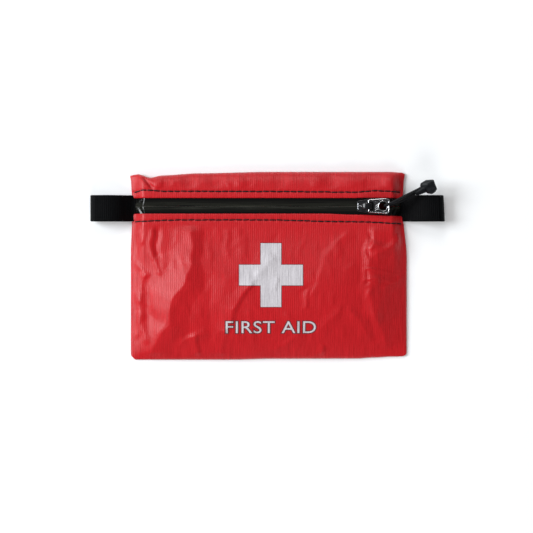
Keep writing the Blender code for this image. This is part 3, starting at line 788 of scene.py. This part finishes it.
def word_mesh(grow):
    """The words as a flat mesh, scaled to the width and height of the print, with each stroke grown all round."""
    data = bpy.data.curves.new("words", "FONT")
    data.body, data.size, data.space_character, data.offset = "FIRST AID", 1.0, 1.06, 0.0
    holder = bpy.data.objects.new("words", data)
    bpy.context.scene.collection.objects.link(holder)
    bpy.context.view_layer.update()
    span = np.array([c[:] for c in holder.bound_box])
    low, high = span.min(0), span.max(0)
    data.offset = grow / (WORDS_WIDTH / (high[0] - low[0]))
    data.resolution_u = 6
    bpy.context.view_layer.update()
    mesh = bpy.data.meshes.new_from_object(holder.evaluated_get(bpy.context.evaluated_depsgraph_get()))
    bpy.data.objects.remove(holder)
    co = np.zeros(len(mesh.vertices) * 3)
    mesh.vertices.foreach_get("co", co)
    co = co.reshape(-1, 3)
    scale = np.array([WORDS_WIDTH / (high[0] - low[0]), WORDS_HEIGHT / (high[1] - low[1]), 0.0])
    co = (co - low) * scale + np.array([*WORDS_AT, 0.0])
    mesh.vertices.foreach_set("co", co.ravel())
    return mesh


CROSS_AT, CROSS_HALF, CROSS_ARM, CROSS_OUTLINE = (1.4, -5.2), 18.1, 5.85, 0.3
WORDS_AT, WORDS_WIDTH, WORDS_HEIGHT, WORDS_OUTLINE = (-24.3, -38.3), 51.2, 6.9, 0.56
PRINT_STEP, PRINT_LAYERS = 0.6, (("outline_", 0.05, dark_ink, 1), ("print_", 0.09, white_ink, 0))
for side, tag in ((-1, "left"), (1, "right")):
    for layer, lift, ink, edge in PRINT_LAYERS:
        cross = cross_mesh(CROSS_AT, CROSS_HALF + edge * CROSS_OUTLINE, CROSS_ARM + edge * CROSS_OUTLINE)
        printed("cross_" + layer + tag, cut_fine(cross, PRINT_STEP, side), lift, ink)
    for layer, lift, ink, edge in PRINT_LAYERS:
        words = word_mesh(edge * WORDS_OUTLINE)
        printed("words_" + layer + tag, cut_fine(words, PRINT_STEP, side), lift, ink)

# %% [markdown]
# The zip is a coated one: a coil sewn behind two tapes whose faces carry a black rubbery film, so that water runs
# off. From outside only the tapes show, nearly closed along the middle. Each tape has a low swelling over its coil
# and fine lines along its length. At the pouch's sides the stiff tape is forced down into the seam, and its film
# buckles into bright folds there.

# %% Zip tapes
tape_film, tree, shader = principled("coated_tape", Base_Color=(0.020, 0.021, 0.019), Roughness=0.30,
                                     Coat_Weight=0.25, Coat_Roughness=0.08, Specular_IOR_Level=0.35)
pattern, _, up = pattern_place(tree)
lines = maths(tree, "COSINE", maths(tree, "MULTIPLY", up, 9.5))
long_way = add(tree, "ShaderNodeMapping", {"Vector": pattern, "Scale": (0.03, 1.6, 1.0)}).outputs[0]
worn = stretch(tree, noise(tree, long_way, 1.0, 5.0, Roughness=0.7), 0.35, 0.7)
# Painted light: the tape is coloured lighter within 3.6 mm of the parting line and black towards the folded lips.
# That is a painted sheen along the middle and painted shade beside the lips, streaked by the wear noise; the
# roughness follows the same mask.
middle = maths(tree, "SUBTRACT", 1.0, maths(tree, "MULTIPLY", maths(tree, "ABSOLUTE", maths(
    tree, "SUBTRACT", up, ZIP_Y)), 0.28))
wear_and_painted_sheen = maths(tree, "MULTIPLY", maths(tree, "MAXIMUM", middle, 0.0), worn)
pebble = noise(tree, pattern, 3.5, 2.0)
feed(tree, shader, Base_Color=mixed(tree, wear_and_painted_sheen, (0.003, 0.003, 0.003), (0.026, 0.026, 0.018)),
     Roughness=maths(tree, "MULTIPLY_ADD", wear_and_painted_sheen, 0.42, 0.16),
     Normal=bump(tree, maths(tree, "ADD", maths(tree, "MULTIPLY", lines, 0.4), pebble), 0.35, 0.00006))

TAPE_TOP, TAPE_SUNK, TAPE, TAPE_END, TAPE_WIDTH = 6.5, 1.3, 0.5, 77.6, 9.7
# The zip's three runs: its level and tag in the names, the side of the middle, and its two ends as shares.
ZIP_RUNS = (("upper", "", 1, -1, 1), ("lower", "_left", -1, -1, 0), ("lower", "_right", -1, 0, 1))


def tape_height(x, off):
    """The tape's face at a distance off from the zip's middle: level, sunk at both ends, a swelling over the coil
    and a small buckle where the ends dip."""
    out = np.abs(x)
    level = TAPE_TOP - (TAPE_TOP - TAPE_SUNK) * (1.0 - zip_level(x))
    swelling = 0.14 * np.exp(-((off - 1.8) / 1.6)**2) - 0.10 * np.exp(-(off / 0.35)**2)
    wave = np.sin((out - 71.5) * 1.5 + off * 0.8)
    buckle = 0.42 * ease((out - 70.5) / 2.5) * wave * ease((7.0 - off) / 3.0)
    return level + swelling - 0.10 + np.minimum(buckle, 0.35)


def parting(x):
    """Half the gap between the tapes: 0.04 where they are joined, wider inside and beyond the slider, and closed
    again where both are sewn into the seam."""
    return 0.04 + 1.58 * ease((x - 53.0) / 7.0) * (1.0 - 0.97 * ease((x - 69.4) / 2.8))


def tape_points(x, v, side):
    """Outer places of a tape: v runs from 0 at the parting line to 1 at the tape's sewn edge."""
    inner = parting(x)
    off = inner + v * (TAPE_WIDTH - inner)
    moved_x, _ = outlined(x, ZIP_Y + side * off)
    return np.stack([moved_x, ZIP_Y + side * off, tape_height(x, off - inner)], -1)


def sewn_zip(piece, material, kind, level):
    """A tape or coil with its finish: the upper one goes on the pouch's body, a lower half gets no body and has its
    placement baked into its mesh.
    """
    still = level == "upper"
    finish_with(piece, material, "pouch" if still else None, ["zipper_" + kind + "_" + level])
    if not still:
        open_with_front(piece)


tape_rows = np.concatenate([np.linspace(0, 0.1, 6), np.linspace(0.13, 1.0, 24)])
tape_x = np.linspace(-TAPE_END, TAPE_END, 401)
for level, tag, side, low, high in ZIP_RUNS:
    low, high = low * TAPE_END, high * TAPE_END
    own = tape_x[(tape_x >= low) & (tape_x <= high)]
    x, v = np.meshgrid(own, tape_rows if side > 0 else tape_rows[::-1], indexing="ij")
    tape = thick_sheet(level + "_tape" + tag, tape_points(x, v, side), TAPE)
    sewn_zip(tape, tape_film, "tape", level)

# %% [markdown]
# Behind each tape lies its coil: one nylon thread wound into a flattened spring, with a turn every 1.25 mm. The
# centre of the thread goes round an ellipse while it moves along the zip, and a small round profile is carried
# along it.

# %% Zip coils
nylon, tree, shader = principled("coil_nylon", Base_Color=(0.02, 0.02, 0.022), Roughness=0.35)
wear = noise(tree, add(tree, "ShaderNodeTexCoord").outputs["Object"], 900.0, 3.0)
feed(tree, shader, Base_Color=mixed(tree, wear, (0.010, 0.010, 0.012), (0.045, 0.045, 0.048)),
     Roughness=maths(tree, "MULTIPLY_ADD", wear, 0.3, 0.22))
COIL_PITCH, COIL_WIRE, COIL_END, COIL_LEVEL = 1.25, 0.27, 69.0, 5.25


def coil_rings(x_low, x_high, side):
    """The wound thread between two places along the zip: an ellipse 2.2 by 0.75 mm, moving one pitch per turn."""
    turns = (x_high - x_low) / COIL_PITCH
    t = np.linspace(0.0, turns, int(turns * 12) + 1)
    x = x_low + t * COIL_PITCH
    y = ZIP_Y + side * (parting(x) + 1.33 + 1.12 * np.cos(2 * np.pi * t))
    z = COIL_LEVEL + 0.37 * np.sin(2 * np.pi * t)
    return carried(np.stack([x, y, z], -1), round_profile(COIL_WIRE, 5), across=(1.0, 0.0, 0.0))


for level, tag, side, low, high in ZIP_RUNS:
    coil = tube_object(level + "_coil" + tag, coil_rings(low * COIL_END, high * COIL_END, side))
    sewn_zip(coil, nylon, "coil", level)

# %% [markdown]
# The topstitch is bonded polyester thread, about 0.6 mm thick, with a stitch every 3.9 mm. Each stitch comes up
# through the cloth, lies on it and goes back down, and is a tiny bit askew. All the stitches of a row are one mesh,
# worked out together: stitch number, place along the stitch and place round the thread are its three indices.

# %% Topstitches
thread, tree, shader = principled("bonded_thread", Base_Color=(0.015, 0.015, 0.016), Roughness=0.5,
                                  Specular_IOR_Level=0.2)
_, run, round_thread = pattern_place(tree)
twist = maths(tree, "SINE", maths(tree, "ADD", maths(tree, "MULTIPLY", run, 7.0),
                                  maths(tree, "MULTIPLY", round_thread, 4 * math.pi)))
feed(tree, shader, Base_Color=mixed(tree, maths(tree, "MULTIPLY_ADD", twist, 0.5, 0.5), (0.002, 0.002, 0.0025),
                                    (0.014, 0.014, 0.016)),
     Normal=bump(tree, twist, 0.5, 0.00008))
STITCH, STITCH_GAP, THREAD, RINGS, ROUND = 3.9, 0.06, 0.64, 11, 6


def stitch_row(name, x_low, x_high, row_y, cloth_height, seed):
    """A row of stitches. Along each one t runs from 0 to 1, the thread is 1 - |2t - 1|^9 of its height above the
    cloth, and its own width narrows where it goes through."""
    pick = np.random.default_rng(seed)
    starts = np.arange(x_low, x_high - STITCH * 0.5, STITCH)
    t = np.linspace(0.0, 1.0, RINGS)
    x = starts[:, None] + STITCH_GAP / 2 + t[None, :] * (STITCH - STITCH_GAP)
    x = np.clip(x, x_low, x_high)
    skew = pick.uniform(-0.11, 0.11, len(starts))[:, None] * (2 * t[None, :] - 1)
    y = row_y(x) + skew + 0.05 * pick.standard_normal(len(starts))[:, None]
    arch = 1.0 - np.abs(2 * t - 1)**9
    z = cloth_height(x, y) + 0.5 * THREAD * (arch * 1.35 - 0.75)[None, :] + 0.2 * (1.0 - zip_level(x))
    moved_x, moved_y = outlined(x, y)
    centre = np.stack([moved_x, moved_y, z], -1)
    turn = np.arange(ROUND) * 2 * np.pi / ROUND
    width = 0.5 * THREAD * (0.72 + 0.28 * arch)[None, :, None]
    ring = np.stack([0 * turn, 1.12 * np.cos(turn), np.sin(turn)], -1)
    points = centre[:, :, None, :] + width[..., None] * ring[None, None]
    faces = np.concatenate([grid_faces(RINGS, ROUND, False, True, first=k * RINGS * ROUND)
                            for k in range(len(starts))])
    caps = [[k * RINGS * ROUND + e * (RINGS - 1) * ROUND + (j if e else ROUND - 1 - j) for j in range(ROUND)]
            for k in range(len(starts)) for e in (0, 1)]
    flipped = signed_volume(points.reshape(-1, 3), faces) < 0
    if flipped:
        faces, caps = faces[:, ::-1], [c[::-1] for c in caps]
    uv = np.stack([np.repeat(x[:, :, None], ROUND, 2), np.broadcast_to(turn / (2 * np.pi), x.shape + (ROUND,))], -1)
    made = new_object(name, points.reshape(-1, 3), faces.tolist() + caps, uv.reshape(-1, 2))
    print(name, len(starts), "stitches")
    return made


upper_row = stitch_row("upper_stitches", -77.4, 77.0, stitch_high_y, header_cloth, 3)
finish_with(upper_row, thread, "pouch", ["topstitch_upper"])
for side, name, low, high in ((-1, "lower_stitches_left", -77.2, 0.0), (1, "lower_stitches_right", 0.5, 77.4)):
    row = stitch_row(name, low, high, stitch_low_y, front_cloth, 5 + side)
    finish_with(row, thread, None, ["topstitch_lower"])
    open_with_front(row)

# %% [markdown]
# The side loops are 15 mm nylon webbing, folded in half with both ends sewn into the side seam. Webbing is a plain
# weave of thick yarns: ribs along the strap, crossed by the weft, with a rounded selvedge at both edges. The strap
# is a flat profile with rounded edges carried round the fold.

# %% Webbing loops
webbing, tree, shader = principled("webbing", Base_Color=(0.005, 0.005, 0.006), Roughness=0.55,
                                   Specular_IOR_Level=0.06)
WARP_PITCH, WEFT_PITCH = 0.9, 1.05
pattern, run, across = pattern_place(tree)
warp = maths(tree, "COSINE", maths(tree, "MULTIPLY", across, 2 * math.pi / WARP_PITCH))
phase = maths(tree, "MULTIPLY", maths(tree, "SIGN", warp), math.pi / 2)
weft = maths(tree, "COSINE", maths(tree, "ADD", maths(tree, "MULTIPLY", run, 2 * math.pi / WEFT_PITCH),
                                   maths(tree, "MULTIPLY", phase, 0.35)))
weave = maths(tree, "ADD", maths(tree, "MULTIPLY", maths(tree, "ABSOLUTE", warp), 0.35),
              maths(tree, "MULTIPLY", weft, 0.65))
tone = maths(tree, "MULTIPLY", maths(tree, "MULTIPLY_ADD", weave, 0.5, 0.5), noise(tree, pattern, 1.4, 4.0))
feed(tree, shader, Base_Color=mixed(tree, tone, (0.0006, 0.0006, 0.0008), (0.0050, 0.0053, 0.0060)),
     Normal=bump(tree, weave, 0.6, 0.00018))
WEB_WIDTH, WEB, WEB_Y, WEB_STEP = 15.0, 1.1, 32.85, 0.4


def strap_profile(width, thickness, across=30):
    """A flat strap's cross-section: a straight run on both faces, closed by half circles at its two edges."""
    flat_run = np.linspace(-(width - thickness) / 2, (width - thickness) / 2, across)
    turn = np.linspace(-np.pi / 2, np.pi / 2, 7)[1:-1]
    right = np.stack([(width - thickness) / 2 + thickness / 2 * np.cos(turn), thickness / 2 * np.sin(turn)], -1)
    low = np.stack([flat_run, np.full(across, -thickness / 2)], -1)
    high = np.stack([flat_run[::-1], np.full(across, thickness / 2)], -1)
    return np.concatenate([low, right, high, -right])


def loop_route(outer_x):
    """Middle line of the strap in the plane of x and z: out of the seam low, round the fold, and back in high."""
    turn = np.radians(np.linspace(-78, 78, 15))
    bend = np.stack([outer_x - 4.2 + 3.7 * np.cos(turn), 4.55 + 3.75 * np.sin(turn)], -1)
    low = [(75.5, 0.95), (79.4, 1.1), (83.0, 0.85), (88.0, 0.78), (92.0, 0.8)]
    high = [(92.0, 8.25), (88.0, 7.6), (84.6, 6.2), (81.8, 4.1), (79.4, 2.6), (77.8, 1.8), (75.5, 1.4)]
    route = np.concatenate([low, bend, high])
    return even_steps(smooth_route(np.stack([route[:, 0], 0 * route[:, 0], route[:, 1]], -1), 6), WEB_STEP)


def web_loop(name, side, outer_x, slant):
    """The strap carried round its route. slant shears the loop along the pouch's side, as the sewn one lies."""
    route = loop_route(outer_x)
    rings = carried(route, strap_profile(WEB_WIDTH, WEB), across=(0.0, 1.0, 0.0))
    run = np.repeat(np.arange(len(route)) * WEB_STEP, rings.shape[1])
    uv = np.stack([run, rings[..., 1].ravel()], -1)
    rings[..., 0] += slant * rings[..., 1] * ease((rings[..., 0] - 84) / 14)
    rings[..., 1] += WEB_Y
    rings[..., 0] *= side
    return tube_object(name, rings, uv=uv)


for side, tag, outer_x, slant in ((-1, "left", 101.6, 0.0), (1, "right", 100.2, -0.05)):
    loop = web_loop("loop_" + tag + "_webbing", side, outer_x, slant)
    finish_with(loop, webbing, None, ["web_loop_" + tag])
    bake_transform(loop)
    print(loop.name, [round(c, 4) for c in loop.bound_box[0]])

# %% [markdown]
# The slider's body, its lock spring and the puller's plate keep their imported shapes and get real finishes: black
# enamel on the zinc slider, steel on the spring, dark plating on the puller. Bright nickel is for the raised lines
# that follow, and for two thin lines on the slider's nose that are a painted highlight. A dull black rubber is for
# the grip.
# A group finds worn edges by how sharply the surface turns.

# %% Hardware finishes
edge_wear, wear_in, wear_out = new_group(
    "edge_wear", [("Scale", "NodeSocketFloat", 400.0)],
    [("Wear", "NodeSocketFloat"), ("Grain", "NodeSocketFloat")])
place = add(edge_wear, "ShaderNodeTexCoord").outputs["Object"]
patchy = noise(edge_wear, place, wear_in.outputs["Scale"], 5.0)
raised = stretch(edge_wear, add(edge_wear, "ShaderNodeNewGeometry").outputs["Pointiness"], 0.52, 0.60)
edge_wear.links.new(maths(edge_wear, "MULTIPLY", raised, patchy), wear_out.inputs["Wear"])
edge_wear.links.new(noise(edge_wear, place, 2600.0, 3.0), wear_out.inputs["Grain"])


def hard_finish(name, base, worn, roughness, metallic, grain_depth, coat=0.0, scale=400.0, gloss=0.5):
    """A painted, plated or moulded finish whose raised edges show the worn colour."""
    made, tree, shader = principled(name, Base_Color=base, Roughness=roughness, Metallic=metallic,
                                    Coat_Weight=coat, Specular_IOR_Level=gloss)
    node = use_group(tree, edge_wear, Scale=scale)
    feed(tree, shader, Base_Color=mixed(tree, node.outputs["Wear"], base, worn),
         Roughness=maths(tree, "MULTIPLY_ADD", node.outputs["Grain"], 0.2, roughness - 0.1),
         Normal=bump(tree, node.outputs["Grain"], 0.3, grain_depth))
    return made


enamel = hard_finish("black_enamel", (0.006, 0.006, 0.007), (0.022, 0.022, 0.025), 0.32, 0.0, 0.00002, coat=0.2)
nickel = hard_finish("bright_nickel", (0.62, 0.62, 0.64), (0.92, 0.92, 0.94), 0.24, 1.0, 0.00001)
steel = hard_finish("spring_steel", (0.40, 0.41, 0.43), (0.75, 0.76, 0.78), 0.28, 1.0, 0.00001)
rubber = hard_finish("moulded_grip", (0.005, 0.0055, 0.0068), (0.035, 0.038, 0.042), 0.42, 0.0, 0.00003, gloss=0.22)
dark_plate = hard_finish("dark_plating", (0.030, 0.030, 0.034), (0.45, 0.45, 0.48), 0.30, 1.0, 0.00001)
for node, material in (("slider_body", enamel), ("lock_spring", steel), ("puller_tab", dark_plate)):
    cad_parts[node].material_slots[0].material = material

# %% [markdown]
# The slider is cast zinc, so its edges are round and catch the light. A bead carried round the rim of each plate
# gives that edge. Two thin nickel beads across and along its nose are a painted highlight on the black enamel. The
# cap over the puller's bar is an arch with an oval plan: an elliptical profile carried over the arch, wide at the top
# and narrower at its two feet.

# %% Beads and the cap
def bead(name, corners, z, radius, material, body, rounding=6, closed=True, squash=1.0):
    """A round bead carried along corners (x, y) at height z, with each corner eased by averaging neighbours."""
    path = np.array([(x, y, z) for x, y in corners], float)
    path = np.vstack([path, path[:1]]) if closed else path
    path = even_steps(path, 0.22)
    for _ in range(rounding):
        if closed:
            ring = path[:-1]
            ring = 0.25 * np.roll(ring, 1, 0) + 0.5 * ring + 0.25 * np.roll(ring, -1, 0)
            path = np.vstack([ring, ring[:1]])
        else:
            path[1:-1] = 0.25 * path[:-2] + 0.5 * path[1:-1] + 0.25 * path[2:]
    if closed:
        ring = path[:-1]
        wide = np.vstack([ring[-1:], ring, ring[:1]])
        rings = carried(wide, round_profile(radius, 10, squash))[1:-1]
        made = tube_object(name, rings, closed=True)
    else:
        made = tube_object(name, carried(path, round_profile(radius, 10, squash)))
    return finish_with(made, material, body)


def mirrored(half_side):
    """Corners (x, y) of one half, and their mirror images back along the other half, about the zip's middle."""
    return [(x, ZIP_Y + y) for x, y in half_side] + [(x, ZIP_Y - y) for x, y in half_side[::-1]]


plate_half = [(50.7, -2.4), (51.2, -2.85), (55.0, -3.4), (58.0, -4.0), (60.7, -4.0), (62.1, -2.6)]
bead("slider_rim_bead", mirrored(plate_half), 8.0, 0.32, enamel, "slider")
bead("slider_floor_bead", mirrored(plate_half), 3.3, 0.32, enamel, "slider")
# Painted highlight: two thin bright nickel beads stand for the light that the front edge catches. One runs across the
# slider's black enamel nose and one runs along it; the nose itself is enamel.
bead("slider_nose_highlight_line", [(50.95, ZIP_Y - 1.9), (50.95, ZIP_Y + 1.9)], 8.2, 0.15, nickel, "slider",
     closed=False)
bead("slider_nose_highlight_wedge", [(51.5, ZIP_Y), (52.9, ZIP_Y)], 8.15, 0.26, nickel, "slider", closed=False)

arch = smooth_route([(53.35, 0, 8.15), (53.30, 0, 9.4), (53.75, 0, 10.6), (54.8, 0, 11.25), (56.0, 0, 11.42),
                     (57.3, 0, 11.25), (58.3, 0, 10.6), (58.8, 0, 9.4), (58.8, 0, 8.15)], 5)
arch[:, 1] = ZIP_Y
rings = carried(arch, round_profile(1.0, 20), across=(0.0, 1.0, 0.0))
over = np.clip(1.0 - ((arch[:, 0] - 56.05) / 3.4)**2, 0.0, 1.0)
half_width, half_thick = 1.25 + 0.75 * over, 0.42
offset = rings - arch[:, None]
across_part = offset[..., 1:2]
rings = arch[:, None] + (offset - np.array([0, 1, 0]) * across_part) * half_thick
rings = rings + np.array([0, 1, 0]) * np.sign(across_part) * np.abs(across_part)**0.7 * half_width[:, None, None]
cap = tube_object("slider_cap", rings)
finish_with(cap, enamel, "slider", ["slider_crown"])
print("cap", len(cap.data.polygons), "faces")

# %% [markdown]
# The puller is a plated plate with a raised bright rim, a rim round its eye, and a few raised strokes between
# them that give the thumb a grip. They are all beads carried along lines on its face.

# %% Puller relief
TAB_TOP = 9.78
tab_half = [(57.0, -3.35), (60.0, -3.6), (64.0, -3.95), (67.0, -4.15), (68.5, -3.0)]
bead("puller_rim", mirrored(tab_half), TAB_TOP, 0.40, nickel, "puller", rounding=4)
turn = np.linspace(0, 2 * np.pi, 40, endpoint=False)
bead("eye_rim", [(65.2 + 2.62 * math.cos(a), ZIP_Y + 2.98 * math.sin(a)) for a in turn], TAB_TOP, 0.32, nickel,
     "puller", rounding=1)
strokes = {"stroke_a": [(60.6, 2.7), (62.9, 1.6)], "stroke_b": [(60.5, 1.6), (62.4, 0.3)],
           "stroke_c": [(60.6, -0.2), (62.4, 0.9)], "stroke_d": [(60.5, -2.7), (62.9, -1.4)],
           "stroke_e": [(60.5, -1.4), (62.5, -0.5)]}
for name, line in strokes.items():
    bead(name, [(x, ZIP_Y + y) for x, y in line], TAB_TOP, 0.30, nickel, "puller", rounding=1, closed=False)

# %% [markdown]
# The grip is moulded over the cord's two ends. It is a faceted block, wide at its end face, with a short tapered
# collar where the cord goes in. One outline is carried up through six levels, drawn in at the bottom and the top.

# %% Moulded grip
grip_outline = np.array([(-4.0, 1.3), (-4.1, 2.7), (-3.0, 3.8), (0.3, 4.1), (4.3, 2.3), (3.7, -3.4), (2.0, -4.4),
                         (-0.2, -4.7), (-2.4, -3.0), (-2.8, -0.9)])
GRIP_AT, GRIP_TURN = np.array([90.9, 45.0, 11.3]), math.radians(27.0)
levels = np.array([(-2.9, 0.62, 1.0), (-2.1, 0.90, 0.3), (-0.9, 1.0, 0.0), (0.9, 1.0, 0.0), (2.0, 0.86, 0.5),
                   (2.9, 0.52, 1.6)])
along = (math.cos(GRIP_TURN), math.sin(GRIP_TURN))
rings = np.stack([np.concatenate([
    GRIP_AT[None, :2] + np.outer(grip_outline[:, 0] * share + shift, along)
    + np.outer(grip_outline[:, 1] * share, (-along[1], along[0])),
    np.full((len(grip_outline), 1), GRIP_AT[2] + z)], 1) for z, share, shift in levels])
grip = tube_object("moulded_grip", rings)
grip.data.polygons.foreach_set("use_smooth", np.zeros(len(grip.data.polygons), bool))
rounded = grip.modifiers.new("rounded", "BEVEL")
rounded.width, rounded.segments = 0.3 * MM, 2
finish_with(grip, rubber, "cord", ["cord_end"])
collar_path = np.linspace(cord_path[-1] + np.array([-3.6, -1.75, -0.75]), np.array([88.6, 43.9, 11.2]), 16)
collar_path[:, 2] = np.linspace(10.85, 11.2, 16)
rings = carried(collar_path, round_profile(1.0, 12))
grow = np.linspace(0.0, 1.0, 16)[:, None, None]
rings = collar_path[:, None] + (rings - collar_path[:, None]) * (1.72 + 0.55 * ease(grow))
collar = tube_object("grip_collar", rings)
finish_with(collar, rubber, "cord")

# %% [markdown]
# The supplies inside are sealed sachets. A sachet is two layers of paper or foil pressed together round the rim,
# with a low pillow in the middle: its half thickness is a small constant at the seal and rises with the smooth
# step of the way in, to the power 0.6. Crimp lines run across the seals at the two short ends.

# %% Supplies
def packet_finish(name, paper, shade, roughness, metallic, crinkle):
    """Paper or foil: a fine fibre or crinkle bump and a slow change of tone, read in the packet's own measures."""
    made, tree, shader = principled(name, Base_Color=paper, Roughness=roughness, Metallic=metallic)
    pattern = pattern_place(tree)[0]
    slow, fine = noise(tree, pattern, 0.12, 3.0), noise(tree, pattern, crinkle, 6.0, Roughness=0.7)
    share = maths(tree, "MULTIPLY_ADD", slow, 0.6, maths(tree, "MULTIPLY", fine, 0.4))
    feed(tree, shader, Base_Color=mixed(tree, share, shade, paper),
         Roughness=maths(tree, "MULTIPLY_ADD", fine, 0.25, roughness - 0.12),
         Normal=bump(tree, fine, 0.5, 0.00015))
    return made


sachet_paper = packet_finish("sachet_paper", (0.78, 0.77, 0.73), (0.62, 0.61, 0.57), 0.7, 0.0, 1.6)
wipe_foil = packet_finish("wipe_foil", (0.70, 0.72, 0.74), (0.50, 0.53, 0.56), 0.35, 0.8, 0.35)
plaster_wrap = packet_finish("plaster_wrap", (0.80, 0.76, 0.68), (0.70, 0.62, 0.50), 0.6, 0.0, 1.2)
bandage_wrap = packet_finish("bandage_wrap", (0.76, 0.72, 0.64), (0.55, 0.50, 0.42), 0.85, 0.0, 3.0)


def sachet(node, material, seal, crimp, seed):
    """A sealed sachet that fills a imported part's box: two layers mirrored about the middle of its height."""
    low, high = box_mm(node)
    size = high - low
    u, v = np.meshgrid(np.linspace(0, 1, int(size[0] / 0.8)), np.linspace(0, 1, int(size[1] / 0.8)), indexing="ij")
    x, y = low[0] + u * size[0], low[1] + v * size[1]
    from_side = np.minimum(np.minimum(u, 1 - u) * size[0], np.minimum(v, 1 - v) * size[1])
    from_end = np.minimum(u, 1 - u) * size[0]
    half, flat_half = size[2] / 2, 0.10
    pillow = ease((from_side - seal) / 9.0)**0.6
    puckers = 1.0 + 0.10 * np.sin(x * 0.7 + seed) * np.cos(y * 0.55 + 2 * seed) - 0.10
    teeth = 0.08 * np.cos(from_end * 2 * np.pi / crimp) * (1.0 - ease((from_end - seal) / 1.5))
    thick = flat_half + (half - flat_half - 0.02) * pillow * puckers
    middle = low[2] + half
    upper = np.stack([x, y, middle + thick + teeth * (half > 0.3)], -1)
    under = np.stack([x, y, middle - thick + teeth * (half > 0.3)], -1)
    made = closed_pair(node + "_packet", upper, under)
    return finish_with(made, material, "pouch", [node])


paper = (sachet_paper, "sachet_paper")
foil, wrap = (wipe_foil, "wipe_foil"), (plaster_wrap, "plaster_wrap")
packets = (("gauze_sachet", paper, 5.0, 1.3), ("dressing_pack", paper, 4.0, 1.3),
           ("bandage_pack", (bandage_wrap, "bandage_wrap"), 0.6, 1.3), ("wipe_sachet_1", foil, 3.0, 1.0),
           ("wipe_sachet_2", foil, 3.0, 1.0), ("plaster_1", wrap, 2.0, 1.0), ("plaster_2", wrap, 2.0, 1.0),
           ("plaster_3", wrap, 2.0, 1.0))
for seed, (node, (material, slot_name), seal, crimp) in enumerate(packets, 1):
    sachet(node, material, seal, crimp, seed)
print(len(packets), "packets made")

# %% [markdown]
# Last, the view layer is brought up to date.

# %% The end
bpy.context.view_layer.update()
